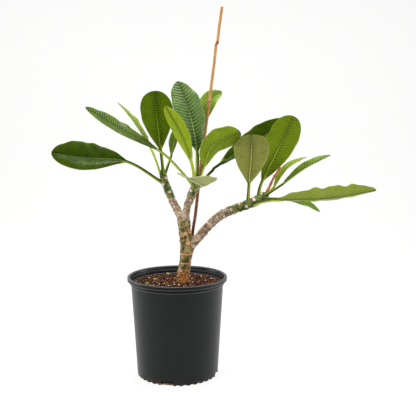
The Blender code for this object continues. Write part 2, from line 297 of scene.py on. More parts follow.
foot_tooth = [
    (RECESS_RADIUS, 0.0), (0.0990, 0.0), (0.1008, 0.0), (0.1024, 0.0), (0.1032, 0.0004),
    (0.1035, 0.0014), (wall_outside(0.0038), 0.0038), (wall_outside(0.0046), 0.0046),
    (wall_outside(SLOT_TOP), SLOT_TOP),
]
foot_recess = [
    (RECESS_RADIUS, 0.0), (RECESS_RADIUS, 0.0012), (RECESS_RADIUS, 0.0036),
    (RECESS_RADIUS + 0.0004, TOOTH_HEIGHT), (0.1000, TOOTH_HEIGHT), (0.1028, TOOTH_HEIGHT),
    (wall_outside(0.0040) - 0.0002, TOOTH_HEIGHT), (wall_outside(0.0046), 0.0046),
    (wall_outside(SLOT_TOP), SLOT_TOP),
]
slot_inside = [
    (wall_inside(SLOT_TOP), SLOT_TOP), (wall_inside(0.0085), 0.0085), (wall_inside(0.0072), 0.0072),
    (wall_inside(0.0065) - 0.0001, 0.0065), (wall_inside(0.0062) - 0.0007, FOOT_STEP_HEIGHT),
    (0.1003, FOOT_STEP_HEIGHT), (0.0995, FOOT_STEP_HEIGHT), (0.0985, FOOT_STEP_HEIGHT),
    (RECESS_RADIUS, FOOT_STEP_HEIGHT),
]
rim_profile = rounded([
    (wall_outside(SLOT_TOP), SLOT_TOP, 0.0),
    (WALL_TOP_RADIUS, BAND_BOTTOM - 0.0004, 0.0008),
    (BAND_RADIUS, BAND_BOTTOM + 0.0006, 0.0009),
    (BAND_RADIUS, BAND_TOP, 0.0012),
    (BAND_RADIUS - 0.0018, BAND_TOP + 0.0001, 0.0005),
    (BAND_RADIUS - 0.0018, LIP_BOTTOM - 0.0002, 0.0004),
    (RIM_RADIUS - 0.0001, LIP_BOTTOM, 0.0016),
    (RIM_RADIUS, POT_HEIGHT, 0.0034),
    (RIM_RADIUS - 0.0066, POT_HEIGHT - 0.0002, 0.0030),
    (COLLAR_INSIDE + 0.001, POT_HEIGHT - 0.0062, 0.0012),
    (COLLAR_INSIDE, BAND_BOTTOM + 0.0012, 0.0007),
    (wall_inside(BAND_BOTTOM - 0.001), BAND_BOTTOM - 0.001, 0.0007),
    (wall_inside(SLOT_TOP), SLOT_TOP, 0.0),
])
underside = [(HUB_RADIUS, 0.0), (0.050, 0.0), (0.094, 0.0)]
inner_floor = [(FOOT_STEP_RADIUS + 0.001, FOOT_STEP_HEIGHT), (FOOT_STEP_RADIUS, FLOOR),
               (0.050, FLOOR), (HUB_RADIUS, FLOOR)]
pot_rows = np.array(underside + foot_tooth + rim_profile + slot_inside + inner_floor)
foot_start = len(underside)
foot_end = foot_start + len(foot_tooth) - 1
inside_start = foot_start + len(foot_tooth) + len(rim_profile)
inside_end = inside_start + len(slot_inside) - 1

# Columns round one tooth pitch, in degrees from the middle of the recess between two teeth.
pitch_columns = np.array([-5.0, -3.6, -2.9, -2.43, -2.27, -1.2, 0.0, 1.2, 2.27, 2.43, 2.9, 3.6])
recess_middles = FIRST_SLOT_ANGLE + TOOTH_PITCH * (np.arange(TOOTH_COUNT)[:, None] + 0.5)
pot_angles = np.radians(recess_middles + pitch_columns).ravel()
pot_columns = len(pot_angles)
columns_to_slot_edge = len(pitch_columns) - 1
slot_step = pot_columns // 4
slot_spans = [(slot_step * k - columns_to_slot_edge, slot_step * k + columns_to_slot_edge)
              for k in range(4)]

pot_grid = np.repeat(pot_rows[:, None, :], pot_columns, axis=1)
in_recess = np.tile(np.abs(pitch_columns) < RECESS_HALF_ANGLE, TOOTH_COUNT)
in_slot = np.zeros(pot_columns, dtype=bool)
for first, last in slot_spans:
    in_slot[np.arange(first, last + 1) % pot_columns] = True
pot_grid[foot_start:foot_end + 1, in_recess & ~in_slot] = np.array(foot_recess)[:, None, :]
pot_points = round_z(pot_grid[..., 0], pot_angles, pot_grid[..., 1])

kept = np.ones((len(pot_rows) - 1, pot_columns), dtype=bool)
slot_faces = []


def quad(*places):
    """Return the indices of four points of the pot's grid, each given by its row and column."""
    return [int(row * pot_columns + column % pot_columns) for row, column in places]


for first, last in slot_spans:
    span = np.arange(first, last) % pot_columns
    for start, end in ((foot_start, foot_end), (inside_start, inside_end)):
        kept[start:end, span] = False
    for column in range(first, last):
        for near, far in ((foot_end, inside_start), (inside_end, foot_start)):
            slot_faces.append(quad((near, column), (far, column),
                                   (far, column + 1), (near, column + 1)))
    for k in range(foot_end - foot_start):
        outer, inner = foot_start + k, inside_end - k
        slot_faces.append(quad((outer, first), (inner, first),
                               (inner - 1, first), (outer + 1, first)))
        slot_faces.append(quad((outer, last), (outer + 1, last),
                               (inner - 1, last), (inner, last)))
pot_faces = grid_faces(len(pot_rows), pot_columns)[kept].tolist()

plastic = Finish("pot_plastic", specular_ior_level=0.22)
pot_z = plastic.height()
cloud = plastic.noise(14.0, 4.0)
scuff = plastic.rise(plastic.noise(60.0, 6.0, 0.7), 0.60, 0.78)
low_down = 1.0 - plastic.rise(pot_z, 0.002, 0.020)
dust_and_slot_light = plastic.rise(plastic.noise(45.0, 5.0, 0.65), 0.44, 0.72) * low_down
# painted light: at each drain slot the foot's lowest few millimetres, where the floor plate's lit edge
# shows, are painted tan in the dust colour
slot_edge_light = plastic.rise(pot_z, SLOT_LIGHT_HEIGHT + 0.0012, SLOT_LIGHT_HEIGHT)
slot_edge_light = slot_edge_light * plastic.rise(plastic.noise(240.0, 3.0), 0.36, 0.50)
for quarter in (math.pi / 2, 0.0):
    turn = math.radians(FIRST_SLOT_ANGLE) + quarter
    aside = plastic.node("ShaderNodeVectorMath", {"operation": "DOT_PRODUCT"},
                         {0: plastic.position, 1: (math.cos(turn), math.sin(turn), 0.0)}, 1)
    within = plastic.rise(abs(aside), SLOT_LIGHT_HALF_WIDTH + 0.0006, SLOT_LIGHT_HALF_WIDTH)
    dust_and_slot_light = dust_and_slot_light + slot_edge_light * within * 6.0
# painted highlights: thin light lines along the corners of the lip and band
edge_highlight = sum(1.0 - plastic.rise(abs(pot_z - level), 0.0002, EDGE_HIGHLIGHT_REACH) for level in EDGE_HIGHLIGHT_HEIGHTS)
black = plastic.paint(
    plastic.mix(cloud, (0.0040, 0.0047, 0.0050), (0.0084, 0.0096, 0.0100)),
    (scuff * 0.35, (0.045, 0.047, 0.047)),
    (edge_highlight * (0.35 + cloud * 0.6), (0.145, 0.150, 0.150)),
    (dust_and_slot_light * 0.15, (0.34, 0.205, 0.110)))
grain = plastic.bump(plastic.noise(1500.0, 2.0), 0.00006)
pot_material = plastic.shade(base_color=black, roughness=0.30 + cloud * 0.12 + scuff * 0.14,
                             normal=plastic.bump(cloud, 0.0006, 1.0, grain))
pot = surface("nursery_pot_shell", pot_points, pot_faces + end_faces(len(pot_rows), pot_columns)
              + slot_faces, pot_material)
pot.data.set_sharp_from_angle(angle=math.radians(40))
install(pot, "pot_plastic", "nursery_pot")


# Potting soil ----------------------------------------------
# Composted bark with white perlite, filled to a little under the collar. The body is a turned
# solid with an uneven top, and thousands of small chips and grains lie on it.

soil_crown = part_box("potting_soil")[1].z
SOIL_EDGE = soil_crown - 0.0045
SOIL_COLUMNS = 200
SOIL_CLEARANCE = 0.0003
SOIL_RADIUS = wall_inside(SOIL_EDGE) - SOIL_CLEARANCE
CHIP_COUNT = 4600
PERLITE_COUNT = 150


def mottle(points, wavelength, seed, waves=14):
    """Return a smooth random value of about -1 to 1 at each point: the sum of plane waves of one
    wavelength, each with its own random direction and phase."""
    chance = np.random.default_rng(seed)
    directions = unit(chance.normal(size=(waves, 3))) * (2 * math.pi / wavelength)
    phases = chance.uniform(0, 2 * math.pi, waves)
    return np.sin(np.asarray(points) @ directions.T + phases).sum(axis=-1) / math.sqrt(waves)


def soil_height(x, y):
    """Return the soil's height: a shallow crown, two sizes of lump and a dip round the edge."""
    flat = np.stack([x, y, 0 * x], axis=-1)
    lumps = 0.0010 * mottle(flat, 0.045, 3) + 0.0006 * mottle(flat, 0.016, 4)
    away = np.hypot(x, y) / SOIL_RADIUS
    dip = 0.0014 + (soil_crown - SOIL_EDGE) * away ** 3 * 0.55
    return soil_crown - dip + lumps * (1 - 0.7 * away ** 6)


top_radii = np.concatenate([[HUB_RADIUS], np.linspace(0.003, SOIL_RADIUS, 70)])
soil_angles = circle(SOIL_COLUMNS)
soil_top = round_z(top_radii[:, None], soil_angles, 0.0)
soil_top[..., 2] = soil_height(soil_top[..., 0], soil_top[..., 1])
side_rows = np.array([
    (wall_inside(0.2200), 0.2200), (wall_inside(0.0300), 0.0300),
    (wall_inside(FOOT_STEP_HEIGHT + 0.0003), FOOT_STEP_HEIGHT + 0.0003),
    (FOOT_STEP_RADIUS + 0.001, FOOT_STEP_HEIGHT + 0.0003), (FOOT_STEP_RADIUS, FLOOR + 0.0003),
    (HUB_RADIUS, FLOOR + 0.0003)])
soil_side = round_z(side_rows[:, :1] - SOIL_CLEARANCE, soil_angles, side_rows[:, 1:])
soil_points = np.concatenate([soil_top, soil_side])[::-1]

earth = Finish("soil_body", roughness=0.95, specular_ior_level=0.15)
clod = earth.noise(420.0, 5.0, 0.7)
soil_colour = earth.paint(
    (0.006, 0.003, 0.002),
    (earth.rise(clod, 0.35, 0.65), (0.050, 0.019, 0.009)),
    # painted shade: below 20 mm, and fully by 12 mm, the soil turns near black where it shows through
    # the drain slots
    (earth.rise(earth.height(), 0.020, 0.012), (0.0010, 0.0007, 0.0005)))
soil_material = earth.shade(base_color=soil_colour, normal=earth.bump(clod, 0.0012))
soil_faces = closed_faces(len(soil_points), SOIL_COLUMNS)
soil = surface("soil_body", soil_points, soil_faces, soil_material)
install(soil, "bark_mix", "potting_soil")

golden = (1 + math.sqrt(5)) / 2
grain_shape = unit([(-1, golden, 0), (1, golden, 0), (-1, -golden, 0), (1, -golden, 0),
                    (0, -1, golden), (0, 1, golden), (0, -1, -golden), (0, 1, -golden),
                    (golden, 0, -1), (golden, 0, 1), (-golden, 0, -1), (-golden, 0, 1)])
grain_faces = np.array([
    (0, 11, 5), (0, 5, 1), (0, 1, 7), (0, 7, 10), (0, 10, 11), (1, 5, 9), (5, 11, 4), (11, 10, 2),
    (10, 7, 6), (7, 1, 8), (3, 9, 4), (3, 4, 2), (3, 2, 6), (3, 6, 8), (3, 8, 9), (4, 9, 5),
    (2, 4, 11), (6, 2, 10), (8, 6, 7), (9, 8, 1)])


def turns(axis, angles):
    """Return a rotation matrix about X, Y or Z (0, 1 or 2) for each angle."""
    first, second = (axis + 1) % 3, (axis + 2) % 3
    matrix = np.tile(np.eye(3), (len(angles), 1, 1))
    matrix[:, first, first] = matrix[:, second, second] = np.cos(angles)
    matrix[:, second, first] = np.sin(angles)
    matrix[:, first, second] = -np.sin(angles)
    return matrix


def scatter(count, sizes, lift, seed):
    """Return twenty-sided grains laid on the soil. Each is the unit shape, dented at random, made
    long, wide and thick, turned by a random rotation and set on the soil's height."""
    chance = np.random.default_rng(seed)
    away = (SOIL_RADIUS - 0.004) * np.sqrt(chance.uniform(0, 1, count))
    angle = chance.uniform(0, 2 * math.pi, count)
    x = away * np.cos(angle)
    y = away * np.sin(angle)
    size = np.stack([chance.uniform(low, high, count) for low, high in sizes], axis=-1)
    dented = grain_shape * (1 + chance.uniform(-0.28, 0.28, (count, 12, 1))) * size[:, None, :]
    matrix = turns(2, chance.uniform(0, 2 * math.pi, count))
    for axis in (0, 1):
        matrix = matrix @ turns(axis, chance.normal(0, 0.45, count))
    turned = np.einsum("nij,nkj->nki", matrix, dented)
    height = soil_height(x, y) + chance.uniform(*lift, count)
    placed = turned + np.stack([x, y, height], axis=-1)[:, None, :]
    tone = np.repeat(chance.uniform(0, 1, count), 12)
    faces = (grain_faces[None] + 12 * np.arange(count)[:, None, None]).reshape(-1, 3)
    return placed.reshape(-1, 3), faces.tolist(), tone


chip_finish = Finish("bark_chips", roughness=0.85, specular_ior_level=0.2)
chip_tone = chip_finish.attribute("tone")
fibre = chip_finish.noise(900.0, 3.0, 0.6)
chip_colour = chip_finish.paint(
    (0.012, 0.004, 0.0015),
    (chip_finish.rise(chip_tone, 0.40, 0.95), (0.27, 0.082, 0.018)),
    (chip_finish.rise(chip_tone, 0.90, 0.97), (0.44, 0.19, 0.060)),
    (chip_finish.rise(fibre, 0.62, 0.40) * 0.6, (0.018, 0.008, 0.005)))
chip_material = chip_finish.shade(base_color=chip_colour, normal=chip_finish.bump(fibre, 0.0004))
chip_points, chip_faces, tone = scatter(
    CHIP_COUNT, ((0.0014, 0.0048), (0.0011, 0.0026), (0.0006, 0.0016)), (-0.0006, 0.0016), 11)
chips = surface("bark_chips", chip_points, chip_faces, chip_material, tone=tone)
chips.data.shade_flat()
install(chips, "bark_mix")

perlite_finish = Finish("perlite", roughness=0.8, specular_ior_level=0.2)
foam = perlite_finish.noise(1400.0, 2.0)
white = perlite_finish.mix(foam, (0.82, 0.74, 0.64), (0.98, 0.96, 0.92))
perlite_material = perlite_finish.shade(base_color=white, normal=perlite_finish.bump(foam, 0.0003))
perlite_points, perlite_faces, _ = scatter(
    PERLITE_COUNT, ((0.0012, 0.0021), (0.0012, 0.0019), (0.0011, 0.0016)), (0.0004, 0.0016), 12)
perlite = surface("perlite_grains", perlite_points, perlite_faces, perlite_material)
install(perlite, "bark_mix")


# Stem ------------------------------------------------------
# The trunk and its three branches are one grown piece: corky orange bark at the soil, then green
# skin with ring scars, grey bark on the branches and green tips with the scars of fallen leaves.
# Overlapping tubes are remeshed as one skin, then drawn onto the smooth union of the limbs.

# x, y, z and radius along each axis, from its lower end to its tip.
TRUNK = (
    (0.009, 0.000, 0.165, 0.0120), (0.012, 0.000, 0.232, 0.0148), (0.021, 0.000, 0.294, 0.0150),
    (0.0245, 0.000, 0.322, 0.0158), (0.0215, 0.000, 0.350, 0.0150), (0.019, 0.000, 0.375, 0.0145),
    (0.018, 0.000, 0.397, 0.0115),
)
BRANCHES = {
    "left": (
        (0.018, 0.000, 0.384, 0.0115), (0.011, 0.003, 0.402, 0.0112), (0.004, 0.008, 0.415, 0.0103),
        (-0.003, 0.013, 0.428, 0.0098), (-0.012, 0.018, 0.444, 0.0098), (-0.021, 0.025, 0.464, 0.0100),
        (-0.028, 0.030, 0.480, 0.0100), (-0.034, 0.035, 0.496, 0.0098), (-0.037, 0.039, 0.511, 0.0086),
        (-0.038, 0.041, 0.517, 0.0045),
    ),
    "middle": (
        (0.018, 0.000, 0.384, 0.0115), (0.021, -0.002, 0.402, 0.0103), (0.023, -0.004, 0.416, 0.0090),
        (0.026, -0.008, 0.432, 0.0092), (0.034, -0.015, 0.453, 0.0105), (0.041, -0.020, 0.470, 0.0110),
        (0.048, -0.025, 0.486, 0.0112), (0.052, -0.029, 0.500, 0.0098), (0.054, -0.031, 0.506, 0.0050),
    ),
    "right": (
        (0.024, 0.000, 0.322, 0.0120), (0.038, -0.001, 0.335, 0.0115), (0.052, -0.002, 0.350, 0.0115),
        (0.067, -0.004, 0.368, 0.0113), (0.083, -0.006, 0.386, 0.0112), (0.101, -0.008, 0.403, 0.0112),
        (0.121, -0.010, 0.416, 0.0112), (0.154, -0.014, 0.430, 0.0115), (0.181, -0.017, 0.440, 0.0118),
        (0.203, -0.019, 0.450, 0.0116), (0.219, -0.021, 0.460, 0.0100), (0.225, -0.022, 0.465, 0.0052),
    ),
}
CROTCH_BLEND = 0.010                # how far apart two limbs start to flow into each other
SKIN_CELL = 0.0011
CORK_TOP = 0.278                    # the corky base ends at about this height
RINGS = (                           # height of each ring scar and how much of it has worn away
    (0.2895, 0.0), (0.3125, 0.0), (0.3420, 1.0), (0.3665, 0.9),
)
GREEN_LENGTHS = {"trunk": 0.0, "left": 0.086, "middle": 0.052, "right": 0.104}
RING_REACH = 0.0022                 # half a fresh ring's height, and how much more a worn one has
WORN_REACH = 0.0028
BARK_FADE = 0.012                   # how long one kind of bark takes to give way to the next
CORK_FADE = 0.014
TUBE_COLUMNS = 24
SCAR_SPACING = 0.0078
SCAR_TURN = math.radians(137.5)     # each leaf stands this far round the branch from the last
SCAR_SIZE = (0.0045, 0.0058)        # half height and half width
CREASE_SPACING = 0.0085             # the cracks that run round the grey bark
CREASE_REACH = 0.0009


def smooth_path(points, steps):
    """Return a Catmull-Rom curve through rows of numbers, with some steps in each span."""
    rows = np.array(points, dtype=float)
    rows = np.vstack([2 * rows[0] - rows[1], rows, 2 * rows[-1] - rows[-2]])
    t = np.arange(steps)[:, None] / steps
    spans = []
    for a, b, c, d in zip(rows, rows[1:], rows[2:], rows[3:]):
        spans.append(b + 0.5 * t * (c - a) + t ** 2 * (a - 2.5 * b + 2 * c - 0.5 * d)
                     + 0.5 * t ** 3 * (3 * b - 3 * c + d - a))
    spans.append(rows[-2][None])
    return np.vstack(spans)


def arc_lengths(path):
    """Return the distance along a path at each of its points."""
    return np.concatenate([[0.0], np.cumsum(np.linalg.norm(np.diff(path[:, :3], axis=0), axis=1))])


def square_to(along):
    """Return two unit vectors square to each direction, the first of them also square to +Y."""
    first = unit(np.cross(along, (0.0, 1.0, 0.0)))
    return first, np.cross(along, first)


def tube_points(rows, columns):
    """Return rings of points round an axis of x, y, z and radius. Each ring is the circle spanned
    by two unit vectors square to the axis."""
    first, second = square_to(unit(np.gradient(rows[:, :3], axis=0)))
    angle = circle(columns)[None, :, None]
    ring = np.cos(angle) * first[:, None] + np.sin(angle) * second[:, None]
    return rows[:, None, :3] + ring * rows[:, 3][:, None, None]


limbs = {"trunk": smooth_path(TRUNK, 5)}
for limb_name, limb_points in BRANCHES.items():
    limbs[limb_name] = smooth_path(limb_points, 4)

skin_points = []
skin_faces = []
for rows in limbs.values():
    offset = sum(len(part) for part in skin_points)
    skin_faces += shifted(closed_faces(len(rows), TUBE_COLUMNS), offset)
    skin_points.append(tube_points(rows, TUBE_COLUMNS).reshape(-1, 3))
rough = surface("stem_rough", np.concatenate(skin_points), skin_faces, pot_material)
remesh = rough.modifiers.new("skin", "REMESH")
remesh.mode = "VOXEL"
remesh.voxel_size = SKIN_CELL
evaluated = rough.evaluated_get(bpy.context.evaluated_depsgraph_get())
stem_mesh = bpy.data.meshes.new_from_object(evaluated)
bpy.data.objects.remove(rough)

stem_co = np.empty(len(stem_mesh.vertices) * 3)
stem_mesh.vertices.foreach_get("co", stem_co)
stem_co = stem_co.reshape(-1, 3)


def limb_field(rows, points):
    """Return where points lie beside a limb: the signed distance to its surface, the unit direction
    outwards, the distance along its axis, the angle round it and the radius there."""
    start = rows[:-1]
    step = rows[1:] - rows[:-1]
    lengths = np.linalg.norm(step[:, :3], axis=1)
    gap = points[:, None, :] - start[None, :, :3]
    share = clamp((gap * step[None, :, :3]).sum(-1) / lengths ** 2)
    gap = gap - share[..., None] * step[None, :, :3]
    away = np.linalg.norm(gap, axis=-1)
    signed = away - (start[:, 3] + share * step[:, 3])
    nearest = signed.argmin(axis=1)
    pick = np.arange(len(points))
    first, second = square_to(unit(step[nearest, :3]))
    outward = unit(gap[pick, nearest] + 1e-9)
    angle = np.arctan2((outward * second).sum(-1), (outward * first).sum(-1))
    travelled = arc_lengths(rows)[nearest] + share[pick, nearest] * lengths[nearest]
    radius = (start[:, 3] + share * step[:, 3])[pick, nearest]
    return signed[pick, nearest], outward, travelled, angle, radius


def union_field(points):
    """Return the distance to the smooth union of all limbs and its direction. Two distances a and b
    join as mix(a, b, h) - k h (1 - h), with h = (1 + (a - b) / k) / 2 kept within 0 and 1."""
    distance, direction = limb_field(limbs["trunk"], points)[:2]
    for name in BRANCHES:
        other, other_direction = limb_field(limbs[name], points)[:2]
        h = clamp(0.5 + 0.5 * (distance - other) / CROTCH_BLEND)
        distance = distance + (other - distance) * h - CROTCH_BLEND * h * (1 - h)
        direction = direction + (other_direction - direction) * h[:, None]
    return distance, unit(direction)


for _ in range(4):
    distance, direction = union_field(stem_co)
    stem_co = stem_co - 0.85 * distance[:, None] * direction
direction = union_field(stem_co)[1]

fields = {name: limb_field(rows, stem_co) for name, rows in limbs.items()}
signed = np.stack([field[0] for field in fields.values()])
owner = signed.argmin(axis=0)
height = stem_co[:, 2]
ring, scar, scar_rim, green, wrinkle, crease, young = np.zeros((7, len(stem_co)))
uneven = 0.0016 * mottle(stem_co, 0.022, 21)
for index, (name, field) in enumerate(fields.items()):
    mine = owner == index
    _, _, travelled, angle, radius = (part[mine] for part in field)
    length = arc_lengths(limbs[name])[-1]
    unrolled = np.stack([travelled, 0.004 * np.cos(angle), 0.004 * np.sin(angle)], -1)
    wrinkle[mine] = mottle(unrolled, 0.0050, 30 + index)
    if name == "trunk":
        tilt = 0.0024 * np.sin(angle)
        for level, worn in RINGS:
            off = height[mine] + tilt + 0.6 * uneven[mine] - level
            left = clamp(1.0 - worn * (0.40 + 0.90 * mottle(stem_co[mine], 0.012, 27)))
            ring[mine] = np.maximum(ring[mine], bell(off, RING_REACH + WORN_REACH * worn) * left)
        above = height[mine] - CORK_TOP + CORK_FADE
        green[mine] = clamp((above + 4 * uneven[mine]) / BARK_FADE)
        continue
    from_tip = length - travelled
    green[mine] = clamp((GREEN_LENGTHS[name] + 6 * uneven[mine] - from_tip) / BARK_FADE)
    young[mine] = green[mine]
    for k in range(int(GREEN_LENGTHS[name] / SCAR_SPACING) + 2):
        centre = 0.012 + SCAR_SPACING * k
        turn = (angle - SCAR_TURN * k + math.pi) % (2 * math.pi) - math.pi
        reach = np.hypot((from_tip - centre) / SCAR_SIZE[0], turn * radius / SCAR_SIZE[1])
        ragged = 1 + 0.16 * mottle(stem_co[mine], 0.010, 28)
        reach = reach * ragged + 0.14 * math.sin(5.0 * k) ** 2
        scar[mine] = np.maximum(scar[mine], clamp((1.12 - reach) / 0.25))
        scar_rim[mine] = np.maximum(scar_rim[mine], bell(reach - 1.05, 0.22))
    for k in range(int(length / CREASE_SPACING)):
        off = travelled - CREASE_SPACING * (k + 0.25 * math.sin(2.4 * k)) + 0.9 * uneven[mine]
        part_round = clamp(0.75 + 0.8 * mottle(stem_co[mine], 0.020, 50 + k))
        crease[mine] = np.maximum(crease[mine], bell(off, CREASE_REACH) * part_round)
crotch = clamp(1 - (np.sort(signed, axis=0)[1] - signed.min(axis=0)) / BARK_FADE)
green = np.maximum(green, 0.45 * crotch * (height > CORK_TOP))
cork = clamp((CORK_TOP - height + 3 * uneven) / CORK_FADE)
relief = 0.00065 * mottle(stem_co, 0.012, 22) + 0.00030 * wrinkle * (1 - 0.5 * green)
relief += 0.0009 * ring + 0.0005 * scar_rim - 0.0003 * scar - 0.0005 * crease
relief += cork * 0.0009 * mottle(stem_co * (1.6, 1.6, 0.7), 0.0065, 23)
stem_co = stem_co + direction * relief[:, None]

bark = Finish("plumeria_bark", specular_ior_level=0.25)
patch = bark.noise(95.0, 4.0, 0.6)
broad = bark.noise(38.0, 3.0, 0.5)
fleck = bark.noise(330.0, 4.0, 0.65)
crack = bark.noise(150.0, 6.0, 0.72)
blush = bark.noise(140.0, 3.0, 0.6)
streak = bark.noise(1.0, 4.0, 0.6, bark.stretched(520.0, 520.0, 120.0))


def marked(name, *ragged):
    """Return a value stored on the stem, its edge made ragged by noises of some strength."""
    return sum(((noise - 0.5) * strength for noise, strength in ragged), bark.attribute(name))


grey = bark.paint(
    (0.20, 0.130, 0.080),
    (bark.rise(patch, 0.38, 0.60), (0.52, 0.40, 0.28)),
    (bark.rise(broad, 0.52, 0.62) * 0.45, (0.13, 0.115, 0.035)),
    (bark.rise(marked("wrinkle", (patch, 2.5)), 0.35, 1.1) * 0.40, (0.085, 0.050, 0.026)),
    (bark.rise(crack, 0.54, 0.64) * 0.55, (0.060, 0.036, 0.018)),
    (bark.rise(marked("crease", (fleck, 0.6)), 0.30, 0.62) * 0.85, (0.055, 0.030, 0.014)))
shoot = bark.paint((0.024, 0.056, 0.005), (bark.rise(patch, 0.40, 0.62), (0.135, 0.185, 0.035)))
skin = bark.paint(
    (0.034, 0.052, 0.004),
    (bark.rise(patch, 0.45, 0.62), (0.46, 0.31, 0.13)),
    (bark.rise(broad, 0.50, 0.62) * 0.6, (0.31, 0.20, 0.075)),
    (bark.rise(blush, 0.52, 0.64) * 0.70, (0.46, 0.200, 0.085)),
    (bark.rise(crack, 0.55, 0.64) * 0.6, (0.030, 0.028, 0.008)),
    (bark.attribute("young") * 0.9, shoot))
peel = bark.paint(
    (0.15, 0.050, 0.012),
    (bark.rise(streak, 0.38, 0.62), (0.57, 0.255, 0.065)),
    (bark.rise(crack, 0.52, 0.60) * 0.85, (0.045, 0.018, 0.007)),
    (bark.rise(patch, 0.60, 0.68) * 0.8, (0.72, 0.46, 0.21)))
ring_colour = bark.mix(bark.rise(fleck, 0.38, 0.62), (0.46, 0.185, 0.085), (0.80, 0.43, 0.25))
scar_colour = bark.mix(bark.rise(fleck, 0.40, 0.62), (0.50, 0.28, 0.19), (0.90, 0.70, 0.57))
colour = bark.paint(
    grey,
    (bark.rise(marked("green", (patch, 0.9)), 0.40, 0.62), skin),
    (bark.rise(marked("cork", (patch, 0.8)), 0.30, 0.70), peel),
    (bark.rise(marked("ring", (fleck, 0.8), (patch, 0.9)), 0.36, 0.64) * 0.9, ring_colour),
    (bark.rise(marked("scar", (fleck, 0.4)), 0.35, 0.60), scar_colour),
    (bark.attribute("rim") * 0.65, (0.055, 0.040, 0.018)))
bark_roughness = 0.82 - bark.attribute("green") * 0.22
bark_bump = bark.bump(crack, -0.0009, 1.0, bark.bump(streak, 0.0005))
stem_material = bark.shade(base_color=colour, roughness=bark_roughness, normal=bark_bump)
polygons = np.empty(len(stem_mesh.loops), dtype=np.int64)
stem_mesh.loops.foreach_get("vertex_index", polygons)
stem = surface("stem_skin", stem_co, polygons.reshape(-1, 4).tolist(), stem_material,
               green=green, ring=ring, scar=scar, rim=scar_rim, cork=cork, wrinkle=wrinkle,
               crease=crease, young=np.maximum(young, 0.4 * crotch * (height > CORK_TOP)))
install(stem, "plumeria_bark", "stem")


# Bamboo stake ----------------------------------------------
# One thin cane pushed into the soil behind the trunk: a swollen knot about every 145 mm, a slight
# bend at each, straw-orange but painted dark brown with shade below the leaves, and cut square on top.

STAKE_BASE_RADIUS = 0.0043
STAKE_TOP_RADIUS = 0.0036
STAKE_BORE = 0.0013
STAKE_PATH = (
    (0.013, 0.008, 0.060), (0.027, 0.021, 0.240), (0.038, 0.036, 0.357), (0.048, 0.043, 0.430),
    (0.081, 0.050, 0.695), (0.098, 0.055, 0.815), (0.114, 0.060, 0.9298),
)
KNOT_HEIGHTS = (0.105, 0.252, 0.398, 0.545, 0.692, 0.842)
KNOT_SPACING = 0.1465
STAKE_COLUMNS = 40
KNOT_REACH = 0.0032
KNOT_SWELL = 0.0007
KNOT_BEND = 0.0010
COLLAR_REACH = 0.0013               # the collar is a dark pinched line just above each knot
COLLAR_RISE = 0.0012
COLLAR_PINCH = 0.00045
BUD_HEIGHT = 0.838                  # a slanting dark bud scar, where the cane steps sideways
BUD_REACH = 0.0075
BUD_STEP = 0.0013
BUD_SLANT = 175.0                   # how far round the cane it runs, in radians for each metre up
BUD_HALF_TURN = 0.75
BUD_DEPTH = 0.14                    # as a share of the cane's radius

stake_line = smooth_path(STAKE_PATH, 110)
stake_z = stake_line[:, 2]
knot, collar, bend = np.zeros((3, len(stake_line)))
for k, level in enumerate(KNOT_HEIGHTS):
    knot = np.maximum(knot, bell(stake_z - level, KNOT_REACH))
    collar = np.maximum(collar, bell(stake_z - level - COLLAR_RISE, COLLAR_REACH))
    nearness = np.maximum(0.0, 1 - np.abs(stake_z - level) / KNOT_SPACING)
    bend = bend + KNOT_BEND * (-1) ** k * nearness
stake_share = (stake_z - stake_z[0]) / (stake_z[-1] - stake_z[0])
stake_radius = STAKE_BASE_RADIUS + (STAKE_TOP_RADIUS - STAKE_BASE_RADIUS) * stake_share
stake_radius = stake_radius + KNOT_SWELL * knot - COLLAR_PINCH * collar
from_bud = stake_z - BUD_HEIGHT
stake_line[:, 0] += bend + BUD_STEP * np.tanh(from_bud / 0.003) * bell(from_bud, 0.035)
stake_rings = tube_points(np.column_stack([stake_line, stake_radius]), STAKE_COLUMNS)
from_bud = from_bud[:, None]
bud_turn = circle(STAKE_COLUMNS) - math.pi / 2 - BUD_SLANT * from_bud
bud = np.exp(-(bud_turn / BUD_HALF_TURN) ** 2 - (from_bud / BUD_REACH) ** 4)
shrink = 1 - BUD_DEPTH * bud[..., None]
stake_rings = stake_line[:, None] + (stake_rings - stake_line[:, None]) * shrink
top = stake_rings[-1]
top_middle = stake_line[-1]
top_axis = unit(stake_line[-1] - stake_line[-2])
bore_share = STAKE_BORE / STAKE_TOP_RADIUS
bore = [top_middle + (top - top_middle) * share - top_axis * depth
        for share, depth in ((0.93, 0.0), (bore_share, 0.0), (bore_share * 0.85, 0.004))]
stake_rings = np.concatenate([stake_rings, np.stack(bore)])
in_bore = [0, 0, 1]                 # of the bore's three rings, its floor gets painted shade
knot_values = np.repeat(np.concatenate([knot, in_bore]), STAKE_COLUMNS)
collar_bud_and_bore_shade = np.repeat(np.concatenate([collar, in_bore]), STAKE_COLUMNS)
collar_bud_and_bore_shade[:bud.size] = np.maximum(collar_bud_and_bore_shade[:bud.size], bud.ravel())

